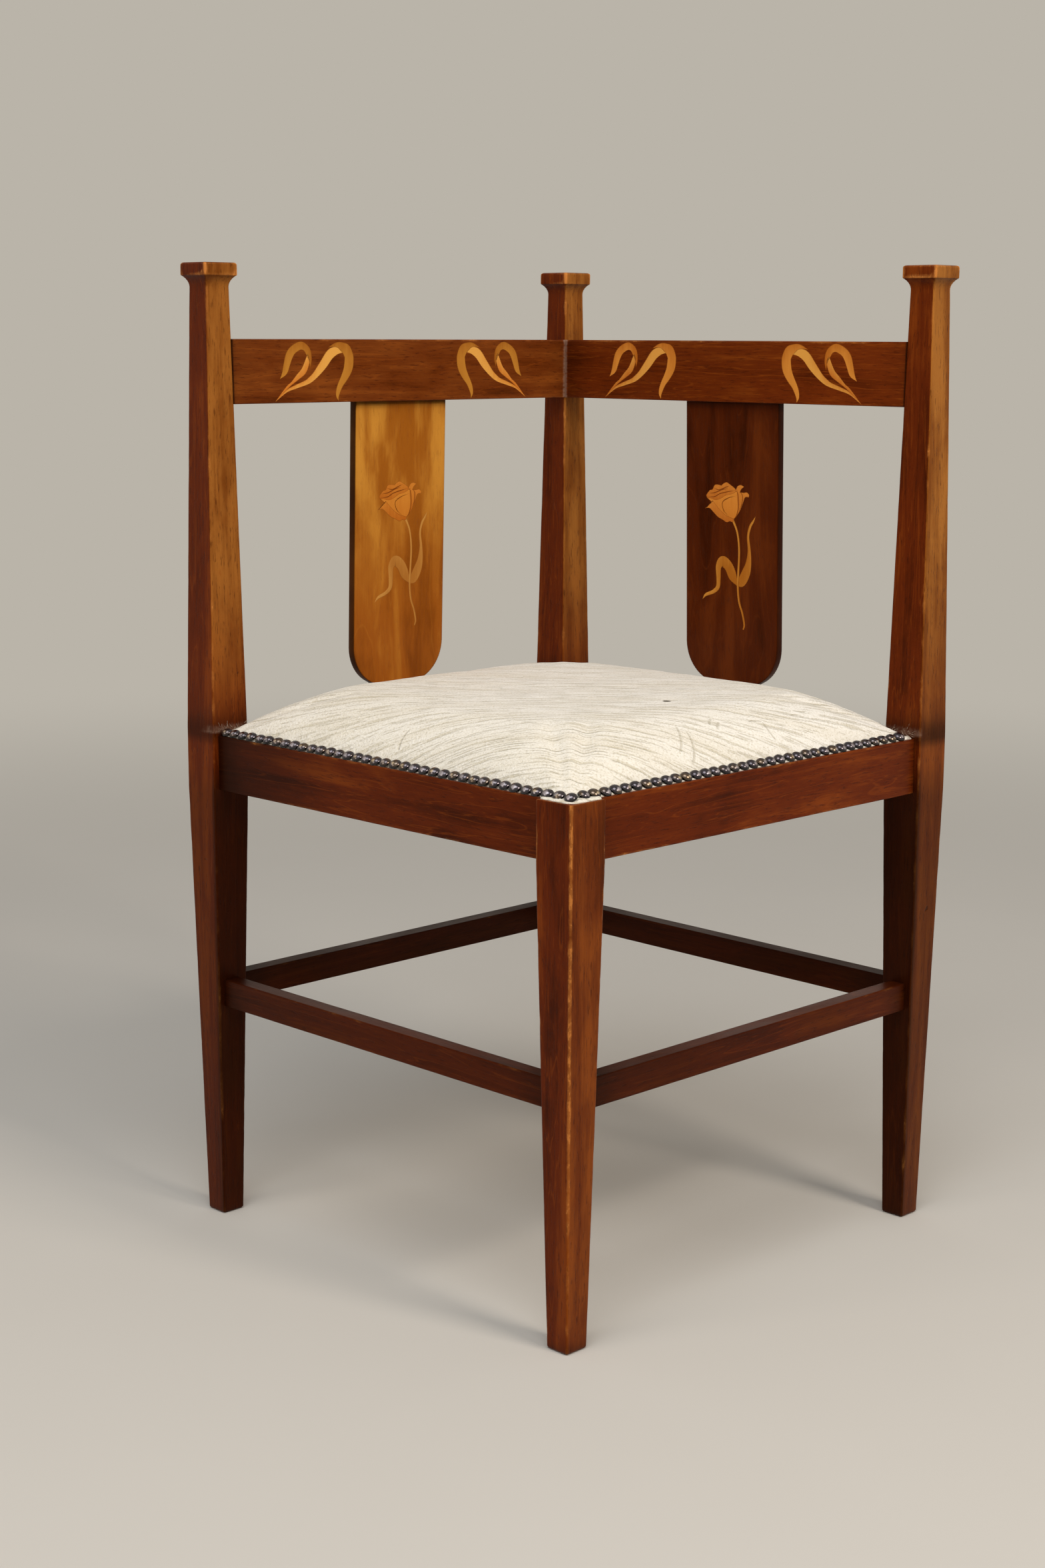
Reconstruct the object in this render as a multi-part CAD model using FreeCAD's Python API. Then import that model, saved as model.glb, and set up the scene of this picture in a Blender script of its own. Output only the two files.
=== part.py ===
import FreeCAD
import Part
import math
import os
from FreeCAD import Vector

# Corner chair of square plan. One leg stands under the seat's front corner, and the other three
# run up as posts that carry two top rails. All sizes are millimetres. The chair is modelled square
# to its rails, with the front corner at -x -y and the back corner at +x +y. The last step turns it
# 45 degrees about Z, so that the front leg faces -Y and the back post +Y. The floor is at z = 0.

# Plan and heights
LEG_SPACING = 401.0
OVERALL_HEIGHT = 780.0
SEAT_TOP = 407.0
TOP_RAIL_DROP = 59.0
STRETCHER_TOP = 203.0

# Legs and posts, square in section, tapered evenly on all four faces
LEG_SIZE = 34.8
FOOT_SIZE = 20.6
POST_NECK_SIZE = 22.4
POST_SHOULDER_RISE = 5.0
CAVETTO_HEIGHT = 9.3
CAP_SIZE = 32.2
CAP_HEIGHT = 9.7
CAP_ROUND = 2.0
FOOT_ROUND = 2.5
ARRIS_CHAMFER = 0.8

# Seat rails
SEAT_RAIL_HEIGHT = 44.4
SEAT_RAIL_THICKNESS = 22.0
SEAT_RAIL_SETBACK = 5.0
SEAT_TENON_THICKNESS = 9.0
# A seat tenon stops short of the one that crosses it in the leg
SEAT_TENON_TIP_GAP = 0.8
SEAT_TENON_SHOULDER = 5.0

# Stretchers, each with its outer face this far outside the leg's centre line
STRETCHER_HEIGHT = 22.6
STRETCHER_THICKNESS = 14.6
STRETCHER_OUTSET = 8.5
STRETCHER_TENON_THICKNESS = 6.0
STRETCHER_TENON_DEPTH = 9.5
STRETCHER_TENON_SHOULDER = 3.0

# Top rails, each with its inner face this far inside the post's centre line
TOP_RAIL_HEIGHT = 51.0
TOP_RAIL_THICKNESS = 19.0
TOP_RAIL_INSET = 13.2
TOP_TENON_THICKNESS = 6.0
TOP_TENON_DEPTH = 8.5
TOP_TENON_SHOULDER = 6.0

# Splats. Each leans inwards from the seat to the top rail and stands nearer to the outer post.
SPLAT_WIDTH = 102.0
SPLAT_THICKNESS = 7.5
SPLAT_OFFSET = 4.4
SPLAT_LEAN = 6.5
SPLAT_INSET_AT_SEAT = 0.7
SPLAT_SHOULDER_RISE = 55.0
SPLAT_SHOULDER_END = (32.0, 25.0)
SPLAT_SHOULDER_SWELL = (0.68, 0.38)
SPLAT_NECK_WIDTH = 44.0
SPLAT_NECK_RISE = 11.0
SPLAT_COVE_HOLLOW = (0.3, 0.62)
SPLAT_TONGUE_THICKNESS = 5.0
SPLAT_TONGUE_DEPTH = 8.0
SPLAT_TONGUE_SHOULDER = 4.0
SPLAT_TENON_WIDTH = 34.0
SPLAT_TENON_DEPTH = 12.0

# Mortises are this much deeper than their tenons
MORTISE_RELIEF = 1.0

# Inlaid veneers
VENEER = 0.8
VENEER_FACET = 6.0
TULIP_SHIFT = {"left": 4.0, "right": 0.0}

# Upholstery
COVER_THICKNESS = 0.8
COVER_EDGE = 0.3
COVER_BACK_GAP = 1.2
COVER_CORNER_ROUND = 8.0
CROWN_HEIGHT = 41.6
CROWN_FRONT_EDGE = 8.9
CROWN_BACK_EDGE = 20.9
CROWN_FOOT_INSET = 2.4
CROWN_RISES = (0.1, 0.3, 0.55, 0.78, 0.92, 0.99)
CROWN_DIRECTIONS = (-1.0, -0.93, -0.8, -0.45, 0.0, 0.45, 0.8, 0.93)
CROWN_PLAN_POWER = 4.5
CROWN_RISE_POWER = 1.45
POST_CLEARANCE = 0.5
STUFFING_EASE = 0.15

# Webbing and hessian under the stuffing
WEBBING_WIDTH = 50.0
WEBBING_THICKNESS = 1.4
WEBBING_COUNT = 4
WEBBING_END_GAP = 0.9
WEBBING_CROSSING_EASE = 1.0
HESSIAN_THICKNESS = 0.7
LAYER_GAP = 0.05
TACK_HEAD = 5.0
TACK_HEAD_THICKNESS = 0.5
TACK_SHANK = 1.4
TACK_SIDES = 6
TACK_LENGTH = 10.0
TACK_EDGE = 0.2
TACKS_PER_END = 2
TACK_SPACING = 28.0

# Domed nails along the two front rails
NAIL_HEAD = 9.5
NAIL_DOME = 3.0
NAIL_SIDES = 8
NAIL_RISES = (0.0, 0.5, 0.92)
NAIL_SHANK = 1.8
NAIL_LENGTH = 12.0
NAIL_PITCH = 10.7
NAIL_END_GAP = 0.1
NAIL_ROWS = {
    "front_left": {"start": 4.2, "inset": 4.9},
    "front_right": {"start": 6.0, "inset": 5.9},
}
CORNER_NAIL_INSET = 9.6

# Corner blocks inside the seat frame
BLOCK_LEG = 62.0
BLOCK_HEIGHT = 28.0
BLOCK_DROP = 6.0
SCREW_SHANK = 4.0
SCREW_HEAD = 8.0
SCREW_HEAD_THICKNESS = 2.4
SCREW_LENGTH = 24.0
SCREW_PLACE = 40.0
SCREW_SEAT = 12.0
SCREW_ACCESS = 10.0
SCREW_SIDES = 6

# Values worked out from those above
HALF = LEG_SPACING / 2
SEAT_RAIL_BOTTOM = SEAT_TOP - SEAT_RAIL_HEIGHT
RAIL_OUTER = HALF + LEG_SIZE / 2 - SEAT_RAIL_SETBACK
RAIL_INNER = RAIL_OUTER - SEAT_RAIL_THICKNESS
TOP_RAIL_TOP = OVERALL_HEIGHT - TOP_RAIL_DROP
TOP_RAIL_BOTTOM = TOP_RAIL_TOP - TOP_RAIL_HEIGHT
STRETCHER_BOTTOM = STRETCHER_TOP - STRETCHER_HEIGHT
POST_SHOULDER = SEAT_TOP + POST_SHOULDER_RISE
CAP_BOTTOM = OVERALL_HEIGHT - CAP_HEIGHT
CAVETTO_BOTTOM = CAP_BOTTOM - CAVETTO_HEIGHT
LEG_INNER = HALF - LEG_SIZE / 2
SEAT_TENON_DEPTH = (RAIL_OUTER + RAIL_INNER - SEAT_TENON_THICKNESS) / 2 - SEAT_TENON_TIP_GAP - LEG_INNER
WEB_LEVEL = SEAT_TOP + WEBBING_THICKNESS / 2
HESSIAN_BOTTOM = WEB_LEVEL + WEBBING_THICKNESS + LAYER_GAP
PAD_BOTTOM = HESSIAN_BOTTOM + HESSIAN_THICKNESS + LAYER_GAP
CROWN_TOP = SEAT_TOP + COVER_THICKNESS + CROWN_HEIGHT

# Quarter turns that carry a piece from the front right side, which faces -y, to each side
SIDES = {"front_right": 0, "back_right": 1, "back_left": 2, "front_left": 3}
CORNERS = {"front": (-1, -1), "right": (1, -1), "left": (-1, 1), "back": (1, 1)}

PARTS = {}


def block(xs, ys, zs):
    """A box between two x, two y and two z values."""
    size = (xs[1] - xs[0], ys[1] - ys[0], zs[1] - zs[0])
    return Part.makeBox(*size, Vector(xs[0], ys[0], zs[0]))


def turned(shape, quarters):
    """A copy of the shape turned about Z by quarter turns."""
    copy = shape.copy()
    copy.rotate(Vector(), Vector(0, 0, 1), 90.0 * quarters)
    return copy


def moved(shape, x=0.0, y=0.0, z=0.0):
    copy = shape.copy()
    copy.translate(Vector(x, y, z))
    return copy


def polygon(points):
    """A flat face with straight sides through 3-D points."""
    return Part.Face(Part.makePolygon(points + [points[0]]))


def stacked(rings):
    """A closed solid of flat faces through level rings of points, each ring with as many points."""
    faces = [polygon(rings[0]), polygon(rings[-1])]
    for low, high in zip(rings, rings[1:]):
        count = len(low)
        for k in range(count):
            a, b = low[k], low[(k + 1) % count]
            c, d = high[(k + 1) % count], high[k]
            lean = abs((b - a).cross(c - a).normalize().dot(d - a))
            faces += [polygon([a, b, c, d])] if lean < 1e-6 else [polygon([a, b, c]), polygon([a, c, d])]
    solid = Part.Solid(Part.Shell(faces))
    if solid.Volume < 0:
        solid.reverse()
    return solid


def upright_prism(points, y_low, y_high):
    """A prism along y whose outline is given as (x, z) points."""
    face = polygon([Vector(x, y_low, z) for x, z in points])
    return face.extrude(Vector(0, y_high - y_low, 0))


def flat_prism(points, z_low, z_high):
    """A prism along z whose outline is given as (x, y) points."""
    face = polygon([Vector(x, y, z_low) for x, y in points])
    return face.extrude(Vector(0, 0, z_high - z_low))


def eased(bar):
    """Cut the arrises that run the length of a bar along x."""
    long_edges = [edge for edge in bar.Edges if edge.BoundBox.XLength > HALF]
    return bar.makeChamfer(ARRIS_CHAMFER, long_edges)


# Legs and posts


def leg_half(z):
    """Half the side of the leg's square section at a height."""
    if z <= SEAT_RAIL_BOTTOM:
        share = z / SEAT_RAIL_BOTTOM
        return (FOOT_SIZE + (LEG_SIZE - FOOT_SIZE) * share) / 2
    if z <= POST_SHOULDER:
        return LEG_SIZE / 2
    share = (z - POST_SHOULDER) / (CAVETTO_BOTTOM - POST_SHOULDER)
    return (LEG_SIZE + (POST_NECK_SIZE - LEG_SIZE) * share) / 2


def chamfered_square(half, chamfer, z):
    """The corners of a level square with cut corners, centred on the origin."""
    flat = half - chamfer
    corners = []
    for x, y in ((1, -1), (1, 1), (-1, 1), (-1, -1)):
        pair = [Vector(x * half, y * flat, z), Vector(x * flat, y * half, z)]
        corners += pair if x * y > 0 else pair[::-1]
    return corners


def quarter_round(radius, steps=2):
    """Inset and rise pairs round a quarter circle, from its level end to its upright end."""
    angles = [math.radians(90 * k / steps) for k in range(steps + 1)]
    return [(radius * (1 - math.sin(a)), radius * (1 - math.cos(a))) for a in angles]


def cavetto_rings(steps=4):
    """Height and half size along the hollow under the cap, an arc that leaves the post upright."""
    flare = (CAP_SIZE - POST_NECK_SIZE) / 2
    radius = (flare**2 + CAVETTO_HEIGHT**2) / (2 * flare)
    sweep = math.asin(CAVETTO_HEIGHT / radius)
    rings = []
    for k in range(steps + 1):
        angle = sweep * k / steps
        half = POST_NECK_SIZE / 2 + radius * (1 - math.cos(angle))
        rings.append((CAVETTO_BOTTOM + radius * math.sin(angle), half))
    return rings


def leg_blank(is_post):
    """A whole leg about its own centre line, before the mortises are cut."""
    foot = [(rise, leg_half(rise) - inset) for inset, rise in quarter_round(FOOT_ROUND)]
    rings = foot + [(SEAT_RAIL_BOTTOM, LEG_SIZE / 2)]
    if is_post:
        rings.append((POST_SHOULDER, LEG_SIZE / 2))
        rings += cavetto_rings()
        cap = [(OVERALL_HEIGHT - drop, CAP_SIZE / 2 - inset) for inset, drop in quarter_round(CAP_ROUND)]
        rings += cap[::-1]
    else:
        rings.append((SEAT_TOP, LEG_SIZE / 2))
    return stacked([chamfered_square(half, ARRIS_CHAMFER, z) for z, half in rings])


# Rails and stretchers, each built on the front right side


def rail_bar(z_low, z_high, y_low, y_high):
    """A bar along x whose ends lie on the tapered faces of the legs."""
    outline = []
    for side, heights in ((1, (z_low, z_high)), (-1, (z_high, z_low))):
        outline += [(side * (HALF - leg_half(z)), z) for z in heights]
    bar = upright_prism(outline, y_low, y_high)
    return eased(bar)


def rail_tenons(z_low, z_high, y_middle, thickness, depth, extra=0.0):
    """Both tenons of a bar. With extra depth they are the tools for the mortises."""
    tenons = []
    for side in (1, -1):
        shoulders = [(side * (HALF - leg_half(z)), z) for z in (z_low, z_high)]
        tip = side * (HALF - leg_half((z_low + z_high) / 2) + depth + extra)
        outline = [(shoulders[0][0], z_low), (tip, z_low), (tip, z_high), (shoulders[1][0], z_high)]
        tenons.append(upright_prism(outline, y_middle - thickness / 2, y_middle + thickness / 2))
    return tenons


def seat_tenons(extra=0.0):
    return rail_tenons(
        SEAT_RAIL_BOTTOM + SEAT_TENON_SHOULDER,
        SEAT_TOP - SEAT_TENON_SHOULDER,
        -(RAIL_OUTER + RAIL_INNER) / 2,
        SEAT_TENON_THICKNESS,
        SEAT_TENON_DEPTH,
        extra,
    )


def stretcher_tenons(extra=0.0):
    return rail_tenons(
        STRETCHER_BOTTOM + STRETCHER_TENON_SHOULDER,
        STRETCHER_TOP - STRETCHER_TENON_SHOULDER,
        -HALF - STRETCHER_OUTSET + STRETCHER_THICKNESS / 2,
        STRETCHER_TENON_THICKNESS,
        STRETCHER_TENON_DEPTH,
        extra,
    )


def top_tenons(extra=0.0):
    return rail_tenons(
        TOP_RAIL_BOTTOM + TOP_TENON_SHOULDER,
        TOP_RAIL_TOP - TOP_TENON_SHOULDER,
        -HALF,
        TOP_TENON_THICKNESS,
        TOP_TENON_DEPTH,
        extra,
    )


def seat_rail():
    bar = rail_bar(SEAT_RAIL_BOTTOM, SEAT_TOP, -RAIL_OUTER, -RAIL_INNER)
    return bar.fuse(seat_tenons())


def stretcher():
    outer = -HALF - STRETCHER_OUTSET
    bar = rail_bar(STRETCHER_BOTTOM, STRETCHER_TOP, outer, outer + STRETCHER_THICKNESS)
    return bar.fuse(stretcher_tenons())


def top_rail(back_end):
    """A top rail whose end nearest the back post, at back_end times x, is mitred on its inner side."""
    inner = -HALF + TOP_RAIL_INSET
    bar = rail_bar(TOP_RAIL_BOTTOM, TOP_RAIL_TOP, inner - TOP_RAIL_THICKNESS, inner)
    reach = 2 * TOP_RAIL_THICKNESS
    corner = back_end * HALF
    beyond = [
        (corner, -HALF),
        (corner, -HALF + reach),
        (corner - back_end * reach, -HALF + reach),
    ]
    bar = bar.cut(flat_prism(beyond, TOP_RAIL_BOTTOM, TOP_RAIL_TOP))
    return bar.fuse(top_tenons())


# Splats. A panel is drawn as seen from the front of the chair: x runs to the right from the
# panel's centre line, y runs outwards from the post's centre line, and z is the real height.


def on_panel_side(shape, side):
    """Place a panel's shape on the back left or the back right of the chair."""
    if side == "left":
        return moved(shape, x=-SPLAT_OFFSET, y=HALF)
    return moved(turned(shape, -1), x=HALF, y=-SPLAT_OFFSET)


def leaning(shape):
    """Tip a shape drawn upright about the seat's top so that it leans as the splat does."""
    copy = shape.copy()
    angle = math.degrees(math.asin(SPLAT_LEAN / (TOP_RAIL_BOTTOM - SEAT_TOP)))
    copy.rotate(Vector(0, -SPLAT_INSET_AT_SEAT, SEAT_TOP), Vector(1, 0, 0), angle)
    return copy


def between(low, high, share):
    return low + (high - low) * share


def splat_outline(top):
    """The splat's face view: straight sides, rounded shoulders, then a cove into the neck."""
    half = SPLAT_WIDTH / 2
    neck = SPLAT_NECK_WIDTH / 2
    shoulder = SEAT_TOP + SPLAT_SHOULDER_RISE
    end_x, end_rise = SPLAT_SHOULDER_END
    end_z = SEAT_TOP + end_rise
    neck_z = SEAT_TOP + SPLAT_NECK_RISE
    bottom = SEAT_TOP - 2 * SPLAT_TENON_DEPTH
    across, up = SPLAT_SHOULDER_SWELL
    swell = (between(end_x, half, across), between(end_z, shoulder, up))
    across, up = SPLAT_COVE_HOLLOW
    hollow = (between(neck, end_x, across), between(neck_z, end_z, up))
    edges = []
    for side in (1, -1):
        def at(x, z, side=side):
            return Vector(side * x, 0, z)
        edges.append(Part.makeLine(at(half, top), at(half, shoulder)))
        edges.append(Part.Arc(at(half, shoulder), at(*swell), at(end_x, end_z)).toShape())
        edges.append(Part.Arc(at(end_x, end_z), at(*hollow), at(neck, neck_z)).toShape())
        edges.append(Part.makeLine(at(neck, neck_z), at(neck, bottom)))
    for x, z in ((half, top), (neck, bottom)):
        edges.append(Part.makeLine(Vector(-x, 0, z), Vector(x, 0, z)))
    return Part.Face(Part.Wire(Part.__sortEdges__(edges)))


def splat_tongue(extra=0.0):
    """The tongue that enters the top rail's underside. With extra depth it cuts the groove."""
    half = SPLAT_WIDTH / 2 - SPLAT_TONGUE_SHOULDER
    margin = (SPLAT_THICKNESS - SPLAT_TONGUE_THICKNESS) / 2
    front = -SPLAT_INSET_AT_SEAT + margin
    ys = (front, front + SPLAT_TONGUE_THICKNESS)
    tall = leaning(block((-half, half), ys, (SEAT_TOP, TOP_RAIL_TOP)))
    zone = (TOP_RAIL_BOTTOM, TOP_RAIL_BOTTOM + SPLAT_TONGUE_DEPTH + extra)
    return tall.common(block((-half, half), (-HALF, HALF), zone))


def splat_tenon(extra=0.0):
    """The tenon on the neck that enters the seat rail. With extra depth it cuts the mortise."""
    half = SPLAT_TENON_WIDTH / 2
    margin = (SPLAT_THICKNESS - SPLAT_TONGUE_THICKNESS) / 2
    front = -SPLAT_INSET_AT_SEAT + margin
    ys = (front, front + SPLAT_TONGUE_THICKNESS)
    tall = leaning(block((-half, half), ys, (SEAT_RAIL_BOTTOM, SEAT_TOP + 1)))
    zone = (SEAT_TOP - SPLAT_TENON_DEPTH - extra, SEAT_TOP)
    return tall.common(block((-half, half), (-HALF, HALF), zone))


def splat():
    face = moved(splat_outline(TOP_RAIL_TOP), y=-SPLAT_INSET_AT_SEAT)
    board = leaning(face.extrude(Vector(0, SPLAT_THICKNESS, 0)))
    clear_height = block((-HALF, HALF), (-HALF, HALF), (SEAT_TOP, TOP_RAIL_BOTTOM))
    return board.common(clear_height).fuse([splat_tongue(), splat_tenon()])


# Inlaid veneers, drawn on the panel's face as (x, height) points or (x, height, width) stations.


def side_line(stations, side):
    """Points along one side of a ribbon given as (x, z, width) stations."""
    points = []
    for i, (x, z, width) in enumerate(stations):
        before = stations[max(i - 1, 0)]
        after = stations[min(i + 1, len(stations) - 1)]
        run = Vector(after[0] - before[0], 0, after[1] - before[1]).normalize()
        points.append(Vector(x, 0, z) + Vector(run.z, 0, -run.x) * (side * width / 2))
    return points


def faceted_curve(points):
    """Points along the smooth curve through some points, spaced as the veneers' facets are."""
    curve = Part.BSplineCurve()
    curve.interpolate(points)
    steps = max(round(curve.length() / VENEER_FACET), 1)
    return curve.toShape().discretize(Number=steps + 1)


def veneer(outline):
    """A thin sheet with a closed outline, lying behind the face that it is let into."""
    loop = [a for a, b in zip(outline, outline[1:] + outline[:1]) if (a - b).Length > 0.01]
    return polygon(loop).extrude(Vector(0, VENEER, 0))


def ribbon(stations):
    """A veneer ribbon that runs through (x, z, width) stations and may come to a point at an end."""
    left = faceted_curve(side_line(stations, -1))
    right = faceted_curve(side_line(stations, 1))
    return veneer(left + right[::-1])


def petal(*curves):
    """A veneer bounded by smooth curves, each of which starts where the one before it ends."""
    ends = [curve[0] for curve in curves[1:]] + [curves[0][0]]
    outline = []
    for curve, end in zip(curves, ends):
        outline += faceted_curve([Vector(x, 0, z) for x, z in curve + [end]])
    return veneer(outline)


def laid_in_order(pieces):
    """Cut each veneer to fit round those before it, and keep its largest piece."""
    laid = []
    for piece in pieces:
        rest = piece.cut(laid) if laid else piece
        laid.append(max(rest.Solids, key=lambda solid: solid.Volume))
    return laid


def scroll_motif():
    """The four ribbons on the left half of a top rail, with heights from the rail's underside."""
    large_tail = ribbon([
        (-141.4, 1.8, 0), (-130, 8.9, 2.3), (-110, 16.1, 3.9), (-100, 22.0, 5.6),
        (-90, 31.9, 8.0), (-84, 38.6, 8.3), (-76.2, 41.6, 6.0), (-70.2, 40.3, 0),
    ])
    large_hook = ribbon([
        (-85.5, 44.3, 0), (-75, 46.3, 4.9), (-67.2, 43.4, 9.3), (-63.3, 35.5, 9.7),
        (-65.3, 25.2, 9.0), (-71.6, 15.4, 6.2), (-75.6, 6.6, 3.8), (-75.2, 1.3, 0),
    ])
    small_tail = ribbon([
        (-107.5, 39.5, 0), (-107.4, 35.1, 4.1), (-109.6, 28.8, 5.5), (-114.6, 22.8, 5.1),
        (-124, 16.2, 2.6), (-133, 9.5, 2.0), (-141.4, 1.8, 0),
    ])
    small_hook = ribbon([
        (-136.5, 19.4, 0), (-131.7, 24.8, 5.2), (-128.2, 34.2, 7.2), (-122.5, 42.3, 7.2),
        (-114.6, 45.2, 6.6), (-108, 41.4, 5.8), (-105, 34.5, 2.4), (-105.2, 28.0, 0),
    ])
    return laid_in_order([large_tail, large_hook, small_tail, small_hook])


def tulip():
    """The veneers of the right splat's tulip, with heights from the seat rail's top."""
    lower_petal = petal(
        [(-29.6, 171.8), (-25.5, 174.9), (-21, 178.6)],
        [(-20.4, 178.6), (-13, 171.8), (-6, 167.2), (2.5, 164.6)],
        [(3.2, 163.0), (1.6, 161.6)],
        [(-1.5, 162.2), (-5, 161.1), (-9.5, 163.0), (-15, 165.2), (-20, 169.0), (-24.5, 172.2)],
    )
    bowl = petal(
        [(-27.5, 181.4), (-20.4, 178.6), (-12, 169.5), (0, 164.0)],
        [(3.5, 164.5), (6.4, 173.0), (5.6, 183.0)],
        [(6.6, 190.2), (0, 188.8), (-12, 185.3), (-20, 183.4)],
    )
    right_petals = petal(
        [(5, 189.0), (7, 192.4), (10.5, 193.6)],
        [(14.3, 192.3), (11, 189.8)],
        [(9.8, 187.3), (13.5, 187.2), (17.5, 187.6), (19.8, 185.6)],
        [(19.6, 183.6), (15.4, 183.2), (13, 178.0), (9.2, 170.8), (4.4, 165.2)],
        [(2.6, 164.2), (3.4, 177.0)],
    )
    back_petals = petal(
        [(-27.4, 181.2), (-28, 183.6)],
        [(-24, 187.9), (-21, 188.6), (-19, 192.0), (-16, 192.9)],
        [(-11, 192.3), (-8.5, 194.2), (-5, 195.2), (-1.5, 193.6), (4.4, 190.2)],
        [(6.6, 189.6), (-10, 182.0)],
    )
    stem = ribbon([
        (1.6, 164.0, 2.4), (6.9, 153.2, 2.0), (9.1, 138.0, 2.1), (8.3, 119.0, 2.2), (7.8, 107.0, 2.2),
        (9.2, 94.0, 2.1), (13, 84.0, 2.0), (15.2, 74.5, 1.9), (14.0, 70.0, 1.2),
    ])
    right_leaf = ribbon([
        (7.6, 107.0, 0), (11.6, 110.6, 8.4), (16.6, 118.8, 9.2), (19.5, 127.5, 6.2), (20.2, 138.0, 3.4),
        (18.9, 150.0, 2.5), (21, 158.5, 2.5), (24.2, 163.2, 2.0), (27, 167.6, 0),
    ])
    left_leaf = ribbon([
        (8, 106.6, 0), (2.2, 114.8, 8.8), (-2.8, 123.4, 9.6), (-9.4, 127.2, 9.4), (-13.9, 122.6, 6.4),
        (-14, 112.5, 4.8), (-14.8, 104.8, 4.2), (-20, 100.3, 3.4), (-28.4, 97.0, 2.6), (-32.2, 93.0, 0),
    ])
    laid = laid_in_order([lower_petal, bowl, right_petals, back_petals, stem, right_leaf, left_leaf])
    return {
        "petals": [laid[0], laid[2], laid[3]],
        "bowl": [laid[1]],
        "stem": [laid[4]],
        "leaves": [laid[5], laid[6]],
    }


def mirrored(shape):
    """Mirror a panel's shape in its centre line."""
    return shape.mirror(Vector(), Vector(1, 0, 0))


def rail_inlays(side):
    """The hooks and the tails of one top rail, on its inner face."""
    large_tail, large_hook, small_tail, small_hook = scroll_motif()
    groups = {"hooks": [large_hook, small_hook], "tails": [large_tail, small_tail]}
    placed = {}
    for name, pieces in groups.items():
        both_halves = pieces + [mirrored(piece) for piece in pieces]
        on_face = [moved(piece, y=-TOP_RAIL_INSET, z=TOP_RAIL_BOTTOM) for piece in both_halves]
        placed[name] = [on_panel_side(piece, side) for piece in on_face]
    return placed


def splat_inlays(side):
    """The tulip of one splat. The left one stands a little further to the right."""
    shift = TULIP_SHIFT[side]
    placed = {}
    for name, pieces in tulip().items():
        upright = [moved(piece, x=shift, y=-SPLAT_INSET_AT_SEAT, z=SEAT_TOP) for piece in pieces]
        on_face = [leaning(piece) for piece in upright]
        placed[name] = [on_panel_side(piece, side) for piece in on_face]
    return placed


# Upholstery


def crown_reach(direction, rise):
    """How far out the crown keeps a share of its height, along a ray towards (1, direction).

    The height follows ((1 - a**n) * (1 - b**n))**(1 / k), with a and b the shares of the way to
    the edges, n the plan power and k the rise power. The reach is found by halving.
    """
    wanted = rise**CROWN_RISE_POWER
    low, high = 0.0, 1.0
    for _ in range(40):
        reach = (low + high) / 2
        sides = (1 - reach**CROWN_PLAN_POWER) * (1 - abs(reach * direction) ** CROWN_PLAN_POWER)
        low, high = (reach, high) if sides > wanted else (low, reach)
    return low


def crown_ring(low, high, rise, shrink, z):
    """A level ring of points round the crown between two edges of the square plan."""
    middle = (low + high) / 2
    half = (high - low) / 2
    ring_points = []
    for quarter in range(4):
        turn = math.radians(90 * quarter)
        for direction in CROWN_DIRECTIONS:
            reach = half * crown_reach(direction, rise) - shrink
            x, y = reach, reach * direction
            ring_points.append(Vector(
                middle + x * math.cos(turn) - y * math.sin(turn),
                middle + x * math.sin(turn) + y * math.cos(turn),
                z,
            ))
    return ring_points


def cover_back_edge():
    return HALF - SPLAT_INSET_AT_SEAT - COVER_BACK_GAP


def crown_foot():
    """The front and back edges of the crown where it meets the rails."""
    return -RAIL_OUTER + CROWN_FRONT_EDGE + CROWN_FOOT_INSET, cover_back_edge()


def crown(bottom, shrink):
    """The domed seat above a level, drawn in by a thickness on its sides and its top."""
    base = SEAT_TOP + COVER_THICKNESS
    foot_levels = sorted({bottom, PAD_BOTTOM})
    rings = [crown_ring(*crown_foot(), 0.0, shrink, z) for z in foot_levels]
    edges = (-RAIL_OUTER + CROWN_FRONT_EDGE, RAIL_OUTER - CROWN_BACK_EDGE)
    for rise in CROWN_RISES:
        z = base + (CROWN_HEIGHT - shrink) * rise
        rings.append(crown_ring(*edges, rise, shrink, z))
    return stacked(rings)


def post_notches(clearance, z_low, z_high):
    """Square columns round the three posts, to cut the seat free of them."""
    half = LEG_SIZE / 2 + clearance
    notches = []
    for name, (x, y) in CORNERS.items():
        if name != "front":
            notches.append(block(
                (x * HALF - half, x * HALF + half), (y * HALF - half, y * HALF + half), (z_low, z_high)
            ))
    return notches


def seat_pad():
    pad = crown(PAD_BOTTOM, COVER_THICKNESS + STUFFING_EASE)
    return pad.cut(post_notches(POST_CLEARANCE + COVER_THICKNESS, PAD_BOTTOM - 1, CROWN_TOP + 1))


def flat_distance(a, b):
    return math.hypot(a.x - b.x, a.y - b.y)


def cover_outline():
    """The flat edge of the cover on the rails, with a rounded corner on the front leg's top."""
    edge = RAIL_OUTER - COVER_EDGE
    back = cover_back_edge()
    zs = (SEAT_TOP, SEAT_TOP + COVER_THICKNESS)
    sheet = block((-edge, back), (-edge, back), zs)
    reach = HALF + LEG_SIZE / 2 - COVER_EDGE
    patch = block((-reach, -LEG_INNER), (-reach, -LEG_INNER), zs)
    corner = Vector(-reach, -reach, 0)
    upright = [edge for edge in patch.Edges if flat_distance(edge.CenterOfMass, corner) < 1]
    return sheet.fuse(patch.makeFillet(COVER_CORNER_ROUND, upright))


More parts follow.
